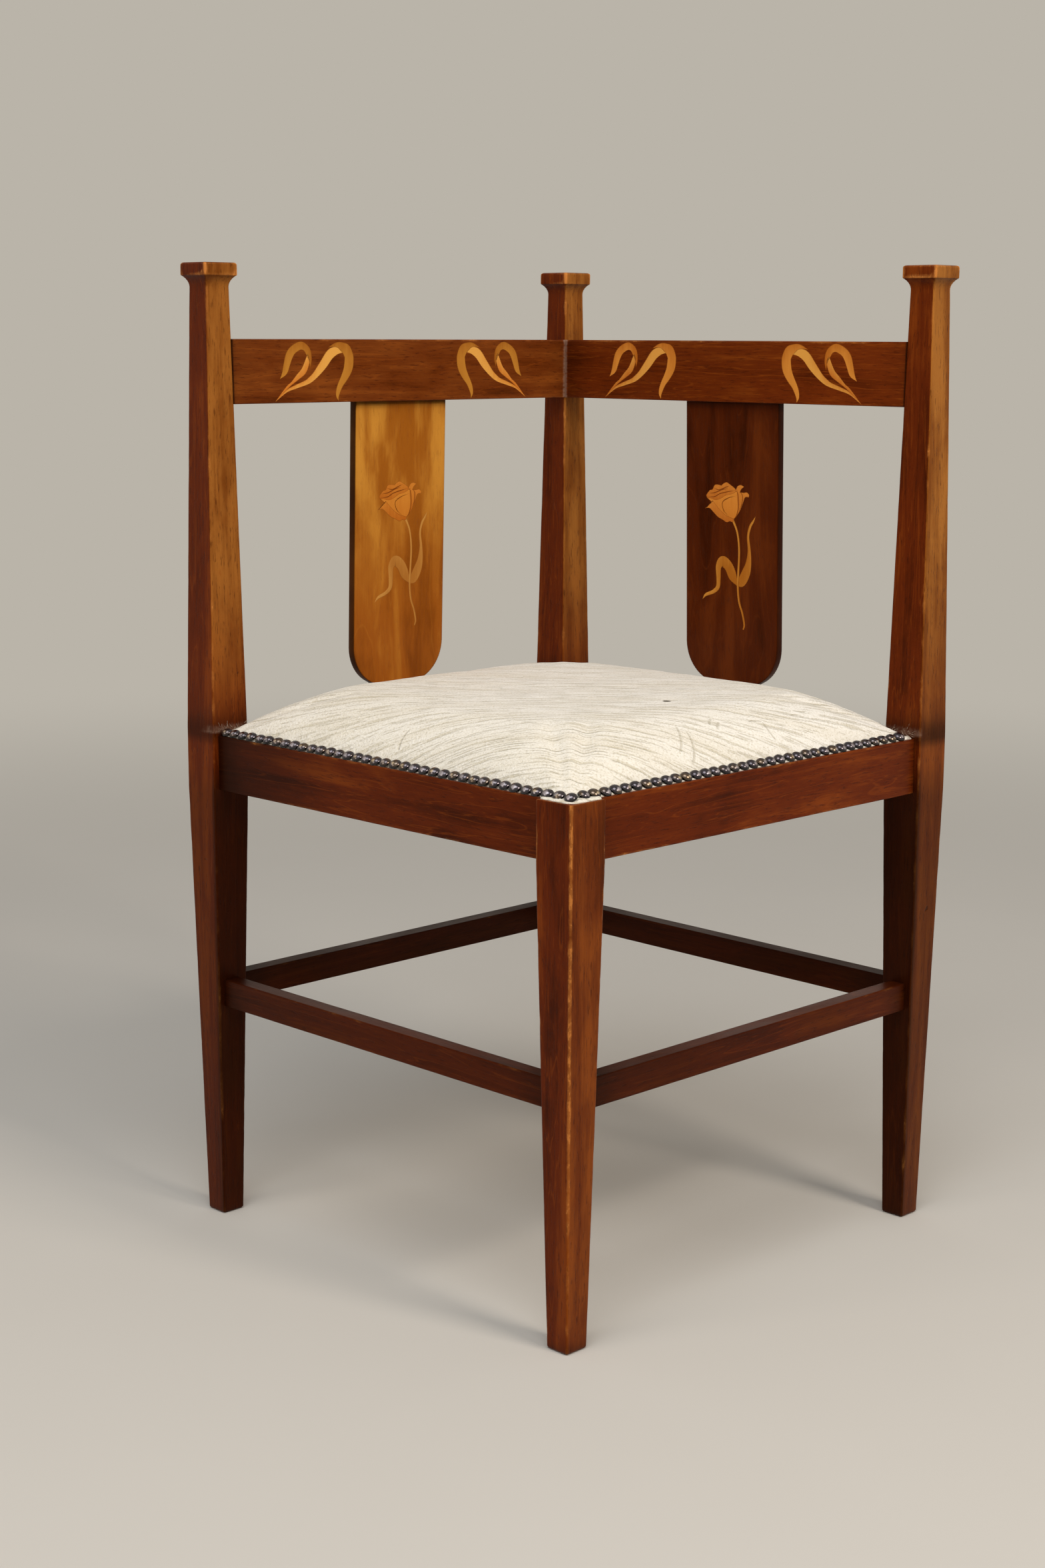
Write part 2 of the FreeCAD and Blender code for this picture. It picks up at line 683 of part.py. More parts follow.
def seat_cover():
    outer = crown(SEAT_TOP, 0.0)
    inner = crown(PAD_BOTTOM, COVER_THICKNESS)
    low, high = crown_foot()
    inside = (low + COVER_THICKNESS, high - COVER_THICKNESS)
    under = block(inside, inside, (SEAT_TOP - 1, PAD_BOTTOM))
    whole = cover_outline().fuse(outer)
    shell = whole.cut([inner, under])
    return shell.cut(post_notches(POST_CLEARANCE, SEAT_TOP - 1, CROWN_TOP + 1))


def webbing_end():
    """How far out the straps reach, just short of the cover where it comes down on the back rails."""
    return cover_back_edge() - COVER_THICKNESS - WEBBING_END_GAP


def webbing_strip(index):
    """One strap along x that passes over and under the straps that cross it."""
    pitch = 2 * RAIL_INNER / WEBBING_COUNT
    end = webbing_end()
    lift = WEBBING_THICKNESS / 2
    flat = WEBBING_WIDTH / 2 + WEBBING_CROSSING_EASE
    line = [(-end, WEB_LEVEL), (-RAIL_INNER + lift, WEB_LEVEL)]
    for crossing in range(WEBBING_COUNT):
        x = (crossing - (WEBBING_COUNT - 1) / 2) * pitch
        z = WEB_LEVEL + (lift if (crossing + index) % 2 else -lift)
        line += [(x - flat, z), (x + flat, z)]
    line += [(RAIL_INNER - lift, WEB_LEVEL), (end, WEB_LEVEL)]
    upper = [(x, z + lift) for x, z in line]
    lower = [(x, z - lift) for x, z in reversed(line)]
    y = (index - (WEBBING_COUNT - 1) / 2) * pitch
    return upright_prism(upper + lower, y - WEBBING_WIDTH / 2, y + WEBBING_WIDTH / 2)


def webbing():
    """The straps each way. The second set is the first turned, so that they interlace."""
    lengthwise = [webbing_strip(index) for index in range(WEBBING_COUNT)]
    return lengthwise, [turned(strip, 1) for strip in lengthwise]


def tack_line():
    """The middle of the straps' bearing, with the heads clear of the straps' ends and the shanks in the rail."""
    clear_of_ends = min((RAIL_INNER + webbing_end()) / 2, webbing_end() - TACK_HEAD / 2)
    return max(clear_of_ends, RAIL_INNER + TACK_SHANK / 2 + TACK_EDGE)


def hessian():
    reach = tack_line()
    zs = (HESSIAN_BOTTOM, HESSIAN_BOTTOM + HESSIAN_THICKNESS)
    sheet = block((-reach, reach), (-reach, reach), zs)
    return sheet.cut(post_notches(POST_CLEARANCE, zs[0] - 1, zs[1] + 1))


# Fasteners


def tapered_shank(size, top, length):
    """A square shank that runs down from a level and tapers to a point."""
    half = size / 2
    corners = [Vector(x * half, y * half, top) for x, y in ((-1, -1), (1, -1), (1, 1), (-1, 1))]
    tip = Vector(0, 0, top - length)
    faces = [polygon([a, b, tip]) for a, b in zip(corners, corners[1:] + corners[:1])]
    shank = Part.Solid(Part.Shell(faces + [polygon(corners)]))
    if shank.Volume < 0:
        shank.reverse()
    return shank


def ring(radius, sides, z):
    """The corners of a level regular polygon."""
    steps = [2 * math.pi * k / sides for k in range(sides)]
    return [Vector(radius * math.cos(a), radius * math.sin(a), z) for a in steps]


def dome_radius(rise):
    """The dome's radius at a share of its height, on a sphere through its rim and crown."""
    rim = NAIL_HEAD / 2
    sphere = (rim**2 + NAIL_DOME**2) / (2 * NAIL_DOME)
    height = sphere - NAIL_DOME + rise * NAIL_DOME
    return math.sqrt(sphere**2 - height**2)


def nail_head(top):
    """A shallow faceted dome that stands on a level."""
    return stacked([ring(dome_radius(rise), NAIL_SIDES, top + rise * NAIL_DOME) for rise in NAIL_RISES])


def nail():
    top = SEAT_TOP + COVER_THICKNESS
    return nail_head(top).fuse(tapered_shank(NAIL_SHANK, top, NAIL_LENGTH))


def nail_places(row):
    """Nail centres of one row in the chair's square plan, as many as fit before the post."""
    rule = NAIL_ROWS[row]
    across = -RAIL_OUTER + rule["inset"]
    first = -HALF + rule["start"]
    room = LEG_INNER - NAIL_HEAD / 2 - NAIL_END_GAP - first
    along = [first + k * NAIL_PITCH for k in range(int(room / NAIL_PITCH) + 1)]
    if row == "front_right":
        return [(step, across) for step in along]
    corner = -HALF - LEG_SIZE / 2 + CORNER_NAIL_INSET
    return [(across, step) for step in along] + [(corner, corner)]


def nail_row(row):
    return [moved(nail(), x=x, y=y) for x, y in nail_places(row)]


def nail_shanks():
    """Every nail's shank, to cut its hole."""
    shank = tapered_shank(NAIL_SHANK, SEAT_TOP + COVER_THICKNESS, NAIL_LENGTH)
    return [moved(shank, x=x, y=y) for row in NAIL_ROWS for x, y in nail_places(row)]


def tack(top):
    rings = [ring(TACK_HEAD / 2, TACK_SIDES, z) for z in (top, top + TACK_HEAD_THICKNESS)]
    return stacked(rings).fuse(tapered_shank(TACK_SHANK, top, TACK_LENGTH))


def webbing_tacks():
    """Tacks through each strap's two ends into the rails."""
    pitch = 2 * RAIL_INNER / WEBBING_COUNT
    one = tack(SEAT_TOP + WEBBING_THICKNESS)
    tacks = []
    for strap in range(WEBBING_COUNT):
        middle = (strap - (WEBBING_COUNT - 1) / 2) * pitch
        for step in range(TACKS_PER_END):
            across = middle + (step - (TACKS_PER_END - 1) / 2) * TACK_SPACING
            for quarter in range(4):
                tacks.append(turned(moved(one, x=tack_line(), y=across), quarter))
    return tacks


def corner_block():
    """A three-sided block in the back corner, notched round the leg."""
    edge = RAIL_INNER
    top = SEAT_TOP - BLOCK_DROP
    zs = (top - BLOCK_HEIGHT, top)
    prism = flat_prism([(edge - BLOCK_LEG, edge), (edge, edge), (edge, edge - BLOCK_LEG)], *zs)
    notch = block((LEG_INNER, HALF), (LEG_INNER, HALF), zs)
    access = screw_access()
    return prism.cut([notch, access, swapped(access)])


def swapped(shape):
    """Mirror a shape in the plane x = y."""
    return shape.mirror(Vector(), Vector(1, -1, 0))


def screw_axis_level():
    return SEAT_TOP - BLOCK_DROP - BLOCK_HEIGHT / 2


def bar_towards_rail(radius, start, length):
    """A many-sided bar that runs along y from a point."""
    bar = stacked([ring(radius, SCREW_SIDES, z) for z in (0, length)])
    bar.rotate(Vector(), Vector(1, 0, 0), -90)
    bar.translate(start)
    return bar


def screw_access():
    """The wide hole in the back corner's block that a screw's head sits in."""
    start = Vector(RAIL_INNER - SCREW_PLACE, RAIL_INNER - BLOCK_LEG, screw_axis_level())
    return bar_towards_rail(SCREW_ACCESS / 2, start, BLOCK_LEG - SCREW_SEAT)


def block_screw():
    """A screw that runs out through the back corner's block into the back rail."""
    seat = Vector(RAIL_INNER - SCREW_PLACE, RAIL_INNER - SCREW_SEAT, screw_axis_level())
    head_start = seat - Vector(0, SCREW_HEAD_THICKNESS, 0)
    head = bar_towards_rail(SCREW_HEAD / 2, head_start, SCREW_HEAD_THICKNESS)
    return head.fuse(bar_towards_rail(SCREW_SHANK / 2, seat, SCREW_LENGTH))


def corner_block_screws():
    pair = [block_screw(), swapped(block_screw())]
    return [turned(screw, quarter) for quarter in range(4) for screw in pair]


# Assembly


def add(name, shape):
    """Keep one piece, or a group of like pieces, under its name."""
    pieces = shape if isinstance(shape, list) else [shape]
    PARTS[name] = [solid for piece in pieces for solid in piece.Solids]


def on_all_sides(shapes):
    return [turned(shape, quarter) for shape in shapes for quarter in SIDES.values()]


def build_frame():
    """Legs, rails, stretchers and splats with their joints cut."""
    cuts = on_all_sides(seat_tenons(MORTISE_RELIEF) + stretcher_tenons(MORTISE_RELIEF))
    back_turns = {"left": SIDES["back_left"], "right": SIDES["back_right"]}
    for turns in back_turns.values():
        cuts += [turned(tenon, turns) for tenon in top_tenons(MORTISE_RELIEF)]
    for corner, (x, y) in CORNERS.items():
        name = "front_leg" if corner == "front" else corner + "_post"
        blank = moved(leg_blank(corner != "front"), x=x * HALF, y=y * HALF)
        add(name, blank.cut(cuts + nail_shanks() if corner == "front" else cuts))
    for side, turns in SIDES.items():
        rail = turned(seat_rail(), turns)
        if side in NAIL_ROWS:
            rail = rail.cut(nail_shanks())
        else:
            rail = rail.cut(on_panel_side(splat_tenon(MORTISE_RELIEF), side.replace("back_", "")))
        add(side + "_seat_rail", rail)
        add(side + "_stretcher", turned(stretcher(), turns))
    for side, turns in back_turns.items():
        back_end = -1 if side == "left" else 1
        inlays = rail_inlays(side)
        rail = turned(top_rail(back_end), turns).cut(on_panel_side(splat_tongue(MORTISE_RELIEF), side))
        for group, pieces in inlays.items():
            rail = rail.cut(pieces)
            add(side + "_rail_scroll_" + group, pieces)
        add(side + "_top_rail", rail)
        panel = on_panel_side(splat(), side)
        for group, pieces in splat_inlays(side).items():
            panel = panel.cut(pieces)
            add(side + "_tulip_" + group, pieces)
        add(side + "_splat", panel)


def build_seat():
    """Corner blocks, webbing, stuffing, cover and their fasteners."""
    screws = corner_block_screws()
    tacks = webbing_tacks()
    names = ("back", "left", "front", "right")
    for quarter, name in enumerate(names):
        add(name + "_corner_block", turned(corner_block(), quarter).cut(screws))
    for side in SIDES:
        rail = PARTS[side + "_seat_rail"][0]
        add(side + "_seat_rail", rail.cut(screws + tacks))
    lengthwise, crosswise = webbing()
    add("webbing_lengthwise", [strip.cut(tacks) for strip in lengthwise])
    add("webbing_crosswise", [strip.cut(tacks) for strip in crosswise])
    add("hessian", hessian())
    add("seat_stuffing", seat_pad())
    add("seat_cover", seat_cover().cut(nail_shanks()))
    for row in NAIL_ROWS:
        add(row + "_nails", nail_row(row))
    add("webbing_tacks", tacks)
    add("corner_block_screws", screws)


build_frame()
build_seat()
os.makedirs("parts", exist_ok=True)
for part_name, solids in PARTS.items():
    shape = solids[0] if len(solids) == 1 else Part.makeCompound(solids)
    shape.rotate(Vector(), Vector(0, 0, 1), 45.0)
    shape.exportStep("parts/" + part_name + ".step")
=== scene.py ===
import cmath
import math
import random

import bmesh
import bpy
from mathutils import Matrix, Vector, noise

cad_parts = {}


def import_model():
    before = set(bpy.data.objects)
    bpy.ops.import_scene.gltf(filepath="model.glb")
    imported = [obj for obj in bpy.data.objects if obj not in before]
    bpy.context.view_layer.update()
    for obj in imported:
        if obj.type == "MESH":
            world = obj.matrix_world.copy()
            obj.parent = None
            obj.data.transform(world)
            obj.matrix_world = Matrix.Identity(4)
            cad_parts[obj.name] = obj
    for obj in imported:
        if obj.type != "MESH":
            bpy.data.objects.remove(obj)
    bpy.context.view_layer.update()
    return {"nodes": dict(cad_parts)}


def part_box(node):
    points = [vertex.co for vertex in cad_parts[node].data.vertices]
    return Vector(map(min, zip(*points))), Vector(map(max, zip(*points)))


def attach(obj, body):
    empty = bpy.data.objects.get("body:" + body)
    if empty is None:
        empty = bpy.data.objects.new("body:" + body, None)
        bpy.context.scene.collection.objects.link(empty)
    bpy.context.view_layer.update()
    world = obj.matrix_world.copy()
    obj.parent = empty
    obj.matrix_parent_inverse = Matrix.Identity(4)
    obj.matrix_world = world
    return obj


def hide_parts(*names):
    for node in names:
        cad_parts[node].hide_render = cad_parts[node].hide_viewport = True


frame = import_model()

# The chair's plan is square to its rails. Lengths in this script are millimetres in that plan: p runs
# along the front right rail, q along the front left rail, and the front corner is at -p -q. The plan is
# turned 45 degrees about Z and scaled to metres when a mesh is made.
METRES = 0.001
PLAN_TURN = math.radians(45)
SHARP_ANGLE = math.radians(50)


def span(node):
    """The lowest and highest point of a CAD node, in millimetres."""
    low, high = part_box(node)
    return low.z / METRES, high.z / METRES


# Heights and plan, from the frame
SEAT_RAIL_LOW, SEAT_TOP = span("front_left_seat_rail")
TOP_RAIL_LOW, TOP_RAIL_HIGH = span("left_top_rail")
STRETCHER_LOW, STRETCHER_HIGH = span("front_left_stretcher")
CHAIR_TOP = span("back_post")[1]
LEG_CENTRE = (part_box("front_leg")[0].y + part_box("front_leg")[1].y) / 2 / METRES
HALF = -LEG_CENTRE / math.sqrt(2)

# Legs and posts
LEG_SIZE = 34.8
FOOT_SIZE = 20.6
POST_NECK_SIZE = 22.4
POST_SHOULDER = SEAT_TOP + 5.0
CAP_SIZE = 32.2
CAP_HEIGHT = 9.7
CAVETTO_HEIGHT = 9.3
CAP_BOTTOM = CHAIR_TOP - CAP_HEIGHT
CAVETTO_BOTTOM = CAP_BOTTOM - CAVETTO_HEIGHT
CAP_ROUND = 2.0
FOOT_ROUND = 2.5
LEG_INNER = HALF - LEG_SIZE / 2
LEG_OUTER = HALF + LEG_SIZE / 2

# Rails
SEAT_RAIL_THICKNESS = 22.0
SEAT_RAIL_OUTER = LEG_OUTER - 5.0
SEAT_RAIL_INNER = SEAT_RAIL_OUTER - SEAT_RAIL_THICKNESS
STRETCHER_THICKNESS = 14.6
STRETCHER_OUTER = HALF + 8.5
STRETCHER_INNER = STRETCHER_OUTER - STRETCHER_THICKNESS
TOP_RAIL_INSET = 13.2
TOP_RAIL_THICKNESS = 19.0
TOP_RAIL_INNER = HALF - TOP_RAIL_INSET
TOP_RAIL_OUTER = TOP_RAIL_INNER + TOP_RAIL_THICKNESS

# Splats
SPLAT_WIDTH = 102.0
SPLAT_THICKNESS = 7.5
SPLAT_OFFSET = 4.4
SPLAT_INSET = 0.7
SPLAT_LEAN = math.asin(6.5 / (TOP_RAIL_LOW - SEAT_TOP))
SPLAT_NECK = 22.0

# Seat. The crown's plan and rise powers say how square it is and how steeply it rises.
CROWN_LOW = -204.0
CROWN_HIGH = 192.0
CROWN_HEIGHT = 38.0
CROWN_PLAN_POWER = 6.0
CROWN_RISE_POWER = 1.45
CLOTH_RISE = 4.0
CLOTH_FRAMES = 20
COVER_THICKNESS = 0.8
COVER_TOP = SEAT_TOP + COVER_THICKNESS
COVER_BACK = 3.2
NOTCH = LEG_INNER - 0.5
NAIL_PITCH = 10.7
LEFT_FIRST_NAIL = -196.3
RIGHT_FIRST_NAIL = -194.5

# Quarter turns that carry a piece from the front right side to each side
SIDES = {"front_right": 0, "back_right": 1, "back_left": 2, "front_left": 3}
CORNERS = {"front": (-1, -1), "right": (1, -1), "left": (-1, 1), "back": (1, 1)}


# Meshes


def mixed(a, b, share):
    return a + (b - a) * share


def smooth(low, high, value):
    share = min(max((value - low) / (high - low), 0.0), 1.0)
    return share * share * (3 - 2 * share)


def rough(p, q, z, size, seed=0.0):
    """Steady noise from -1 to 1 whose lumps are about a size across."""
    return noise.noise(Vector((p / size + seed, q / size - seed, z / size + 2 * seed)))


def quarter_turned(p, q, quarters):
    for _ in range(quarters):
        p, q = -q, p
    return p, q


def to_world(point):
    return Matrix.Rotation(PLAN_TURN, 4, "Z") @ (Vector(point) * METRES)


def mesh_of(name, points, faces):
    mesh = bpy.data.meshes.new(name)
    mesh.from_pydata(points, [], faces)
    return mesh


def linked(name, data):
    """A new object in the scene."""
    made = bpy.data.objects.new(name, data)
    bpy.context.scene.collection.objects.link(made)
    return made


class Solid:
    """A mesh in the making: points in plan, faces, and what the finish reads at each point.

    grain holds each point's place in the board that it was cut from, as along, across and through.
    worn is how far the polish is rubbed away, grime_and_shade how much dirt has gathered together with the
    shade that is painted there, faded how much light is painted on the side towards the window
    light, and glue how much old glue and dust is smeared there.
    """

    def __init__(self):
        self.points = []
        self.faces = []
        self.grain = []
        self.marks = {"worn": [], "grime_and_shade": [], "faded": [], "glue": []}

    def point(self, place, grain=(0, 0, 0), worn=0.0, grime_and_shade=0.0, faded=0.0, glue=0.0):
        self.points.append(place)
        self.grain.append(grain)
        for values, value in zip(self.marks.values(), (worn, grime_and_shade, faded, glue)):
            values.append(value)
        return len(self.points) - 1

    def skin(self, rings, strips=False):
        """Join rings of point numbers into a closed surface. Its ends are flat, and may be cut into strips."""
        for low, high in zip(rings, rings[1:]):
            count = len(low)
            for k in range(count):
                after = (k + 1) % count
                self.faces.append((low[k], low[after], high[after], high[k]))
        for ring in (rings[0][::-1], rings[-1]):
            if strips:
                for k in range(len(ring) // 2 - 1):
                    self.faces.append((ring[k], ring[k + 1], ring[-k - 2], ring[-k - 1]))
            else:
                self.faces.append(tuple(ring))

    def make(self, name, material, slot, *nodes):
        """The finished piece, which stands for some CAD nodes."""
        mesh = mesh_of(name, [to_world(point) for point in self.points], self.faces)
        grain = mesh.attributes.new("grain", "FLOAT_VECTOR", "POINT")
        grain.data.foreach_set("vector", [number * METRES for place in self.grain for number in place])
        for key, values in self.marks.items():
            mesh.attributes.new(key, "FLOAT", "POINT").data.foreach_set("value", values)
        return piece(name, mesh, material, slot, *nodes)


def outward(mesh):
    """Turn every face of a closed mesh outwards."""
    made = bmesh.new()
    made.from_mesh(mesh)
    bmesh.ops.recalc_face_normals(made, faces=made.faces)
    if made.calc_volume(signed=True) < 0:
        bmesh.ops.reverse_faces(made, faces=made.faces)
    made.to_mesh(mesh)
    made.free()


def piece(name, mesh, material, slot, *nodes):
    """Put a mesh in the scene as a piece of the chair."""
    outward(mesh)
    mesh.shade_smooth()
    mesh.set_sharp_from_angle(angle=SHARP_ANGLE)
    mesh.materials.append(material)
    made = linked(name, mesh)
    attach(made, "root")
    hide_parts(*nodes)
    return made


# Shader graphs


def colour(code):
    """A colour written as six hex digits, as the linear values that shaders use."""
    shares = [int(code[k:k + 2], 16) / 255 for k in (0, 2, 4)]
    return [s / 12.92 if s <= 0.04045 else ((s + 0.055) / 1.055) ** 2.4 for s in shares] + [1.0]


class Wire:
    """The output of a node. Arithmetic on it adds Math nodes, and plain numbers may stand on either side."""

    def __init__(self, graph, socket):
        self.graph = graph
        self.socket = socket

    def math(self, operation, *others):
        """A Math node that takes this wire first."""
        return self.graph.node("Math", dict(enumerate((self, *others))), operation=operation)

    def __add__(self, other):
        return self.math("ADD", other)

    def __sub__(self, other):
        return self.math("SUBTRACT", other)

    def __rsub__(self, other):
        return self.math("MULTIPLY_ADD", -1.0, other)

    def __mul__(self, other):
        return self.math("MULTIPLY", other)

    __radd__ = __add__
    __rmul__ = __mul__

    def between(self, low, high):
        """0 below one value, 1 above the other, and a smooth rise in between."""
        sockets = {"Value": self, "From Min": low, "From Max": high}
        return self.graph.node("MapRange", sockets, interpolation_type="SMOOTHSTEP")

    def part(self, axis):
        """One of the three numbers of a vector."""
        return self.graph.node("SeparateXYZ", {0: self}, "XYZ".index(axis))


class Graph:
    """A node graph in the making."""

    def __init__(self, tree):
        self.nodes = tree.nodes
        self.links = tree.links

    def put(self, socket, value):
        """Give a socket a wire or a plain value. A colour may be written as its six hex digits."""
        if isinstance(value, Wire):
            self.links.new(value.socket, socket)
        else:
            is_code = socket.type == "RGBA" and isinstance(value, str)
            socket.default_value = colour(value) if is_code else value

    def node(self, kind, sockets=(), out=0, family="Shader", **settings):
        """Add a node and fill its sockets. The result is the wire from one of its outputs."""
        made = self.nodes.new(family + "Node" + kind)
        for key, value in settings.items():
            setattr(made, key, value)
        for key, value in dict(sockets).items():
            self.put(made.inputs[key], value)
        return Wire(self, made.outputs[out])

    def place(self):
        return self.node("TexCoord", out="Object")

    def reads(self, name, out="Fac"):
        return self.node("Attribute", out=out, attribute_name=name)

    def vector(self, x, y, z):
        return self.node("CombineXYZ", {0: x, 1: y, 2: z})

    def noise(self, place, detail, roughness, distortion=0.0):
        sockets = {"Vector": place, "Scale": 1.0, "Detail": detail, "Roughness": roughness, "Distortion": distortion}
        return self.node("TexNoise", sockets)

    def lumps(self, place, scale, detail, roughness, distortion=0.0, shift=0.0):
        """Noise with so many lumps to the metre along and across, and through if that differs."""
        sockets = {0: place, 1: (*scale, scale[-1])[:3], 2: (shift, shift * 1.7, shift * 2.3)}
        stretched = self.node("VectorMath", sockets, operation="MULTIPLY_ADD")
        return self.noise(stretched, detail, roughness, distortion)

    def mix(self, a, b, share):
        sockets = {0: share, 6: a, 7: b}
        return self.node("Mix", sockets, 2, data_type="RGBA", blend_type="MIX", clamp_factor=True)


class Finish(Graph):
    """A material and its node graph."""

    def __init__(self, name, **surface):
        self.material = bpy.data.materials.new(name)
        self.material.use_nodes = True
        super().__init__(self.material.node_tree)
        self.shader = self.nodes["Principled BSDF"]
        self.surface(**surface)

    def surface(self, **values):
        for key, value in values.items():
            self.put(self.shader.inputs[key.replace("_", " ")], value)

    def paint(self, base, *layers):
        """Colour the surface: a base, then the layers over it, each a colour and the share that it covers."""
        for over, share in layers:
            base = self.mix(base, over, share)
        self.surface(Base_Color=base)

    def bump(self, height, depth):
        """Feed the normal from a height pattern whose full step is a depth in metres."""
        self.surface(Normal=self.node("Bump", {"Height": height, "Strength": 1.0, "Distance": depth}))


# Wood

# The way that faces turn towards the window light, where light is painted on them
WINDOW_LIGHT_SIDE = (math.sqrt(0.5), -math.sqrt(0.5), 0.0)
# DIRT_AND_SHADE is the dark colour of real dirt and of the shade painted with it
DIRT_AND_SHADE, GLUE, DENT = "0e0502", "8c7060", "160803"


def polished(name, **surface):
    """The start of every polished finish: a thin old film whose reflections take the wood's warmth."""
    return Finish(
        name, IOR=1.46, Specular_IOR_Level=0.15, Specular_Tint="ff8a40",
        Coat_Weight=0.015, Coat_Roughness=0.12, **surface,
    )


def wood(name, deep, warm, light, rubbed_and_highlight, lit_tones=None, flame=(3.5, 60), figure=0.5, texture=1.0, shift=0.0):
    """Old polished wood, read along the grain of each board.

    The deep, warm and light colours follow the figure, whose flame says how many lumps it has to the metre
    along and across. Texture is how strongly the fine grain shows. rubbed_and_highlight shows where the
    polish is worn off, and lit_tones are the paler colours painted as light on the faces that stand
    towards the window light.
    """
    made = polished(name)
    grain = made.reads("grain", "Vector")
    clouds = made.lumps(grain, (12, 30), 4, 0.6, 0.4, shift)
    bands = made.lumps(grain, flame, 3, 0.5, 0.8, shift + 3)
    streaks = made.lumps(grain, (24, 520), 3, 0.6, shift=shift + 7)
    dashes = made.lumps(grain, (95, 700), 3, 0.6, shift=shift + 11)
    tone = clouds * 0.5 + bands * figure + streaks * (0.2 * texture)
    middle = 0.25 + 0.5 * figure + 0.1 * texture
    contour = (bands * 15.0).math("PINGPONG", 1.0).between(0.84, 1.0)
    layers = [
        (warm, tone.between(middle - 0.2, middle + 0.01)),
        (light, tone.between(middle, middle + 0.18) * 0.75),
        (light, contour * (0.4 * texture)),
    ]
    # Painted light: the faces that turn towards the window light are painted in the paler lit_tones, as far as faded
    # says
    if lit_tones:
        normal = made.node("NewGeometry", out="Normal")
        facing = made.node("VectorMath", {0: normal, 1: WINDOW_LIGHT_SIDE}, "Value", operation="DOT_PRODUCT")
        lit_paint = made.mix(*lit_tones, tone.between(middle - 0.12, middle + 0.12))
        layers.append((lit_paint, facing.between(0.1, 0.8) * made.reads("faded")))
    pore = dashes.between(0.56, 0.68)
    fleck = (1 - dashes).between(0.58, 0.72)
    chips = made.lumps(grain, (170, 420), 4, 0.7, shift=shift + 19)
    wear = made.reads("worn")
    bare = (wear + (chips - 0.5) * 1.7).between(0.6, 0.85)
    rub = (wear + (chips - 0.5) * 0.8).between(0.25, 0.8)
    # Dirt together with painted shade darkens the wood towards DIRT_AND_SHADE
    grime_and_shade = made.reads("grime_and_shade")
    dirt_and_shade = (grime_and_shade + (clouds - 0.5) * 0.9 * grime_and_shade).between(0.0, 1.0)
    glue = made.reads("glue")
    smear = (glue + (chips - 0.5) * 1.6 * glue).between(0.25, 0.8)
    dent = (1 - made.lumps(grain, (52, 64), 2, 0.5, shift=shift + 29)).between(0.77, 0.8)
    layers += [
        (deep, pore * (0.55 * texture)),
        (light, fleck * (0.3 * texture)),
        (rubbed_and_highlight, (rub * 0.4).math("MAXIMUM", bare * 0.75)),
        (DIRT_AND_SHADE, dirt_and_shade * 0.9),
        (GLUE, smear * 0.75),
        (DENT, dent * 0.6),
    ]
    made.paint(deep, *layers)
    made.surface(Roughness=0.3 + (bare + dirt_and_shade) * 0.18 + (clouds - 0.5) * 0.25)
    made.bump(streaks * 0.2 - pore * 0.3 - bare * 0.7 - dent * 1.4 + clouds * 0.7, 0.00022)
    return made.material


def inlay(name, pale, golden, edge, shift):
    """Thin polished veneer, scorched dark along its edges and shaded along its length.

    It reads the tone from worn, and how near the scorched edge is from grime_and_shade.
    """
    made = polished(name, Roughness=0.34)
    grain = made.reads("grain", "Vector")
    lines = made.lumps(grain, (60, 1500), 3, 0.6, shift=shift)
    clouds = made.lumps(grain, (50, 160), 2, 0.5, shift=shift + 5)
    tone = made.reads("worn") + (clouds - 0.5) * 0.45 + (lines - 0.5) * 0.35
    rim = made.reads("grime_and_shade") + (clouds - 0.5) * 0.3
    made.paint(golden, (pale, tone.between(0.1, 0.8)), (edge, rim.between(0.35, 1.0) * 0.75))
    made.bump(lines, 0.00006)
    return made.material


# lit_tones are the paler colours painted as light on the faces that turn towards the window
MAHOGANY = wood("mahogany", "3a1204", "5f2308", "853e10", "cc8240", lit_tones=("7a4415", "a3682b"))
WARM_MAHOGANY = wood("warm_mahogany", "471804", "6e2c0a", "9a4c14", "cc8240", shift=21.0)
# The left splat faces the window light and is painted golden and pale, the right one faces away and is painted red
# and dark: painted light and shade, and partly a real difference of veneer
SPLAT_GOLD = wood(
    "golden_splat", "7a3f0e", "9a5517", "b87628", "d89a50", lit_tones=("9c5a18", "c88934"),
    flame=(6, 26), figure=0.8, texture=0.45, shift=4.0,
)
SPLAT_RED = wood(
    "red_splat", "311003", "4c1d07", "672e0d", "c07034", flame=(5, 34), figure=0.7, texture=0.7, shift=9.0,
)


# Worn members of the frame

# Steps round an arris, and how far out from it a section keeps its flat faces flat
ARC_STEPS = 4
HELD = (0.8, 4.0)
ARRIS = 0.9
WORN_ARRIS = 1.3


def rounded_section(half_a, half_b, radii):
    """Points round a rectangle from its low b side, as (a, b, closeness to an arris, corner)."""
    section = []
    for corner, (side_a, side_b) in enumerate(((1, -1), (1, 1), (-1, 1), (-1, -1))):
        radius = radii[corner]
        centre = Vector((side_a * (half_a - radius), side_b * (half_b - radius)))
        start = math.radians(90 * (corner - 1))
        arc = [start + math.radians(90) * k / ARC_STEPS for k in range(ARC_STEPS + 1)]
        rim = [centre + radius * Vector((math.cos(t), math.sin(t))) for t in arc]
        back = Vector((math.sin(arc[0]), -math.cos(arc[0])))
        ahead = Vector((-math.sin(arc[-1]), math.cos(arc[-1])))
        section += [(*(rim[0] + back * held), share, corner) for held, share in zip(HELD[::-1], (0.0, 0.45))]
        section += [(*point, 1.0, corner) for point in rim]
        section += [(*(rim[-1] + ahead * held), share, corner) for held, share in zip(HELD, (0.45, 0.0))]
    return section


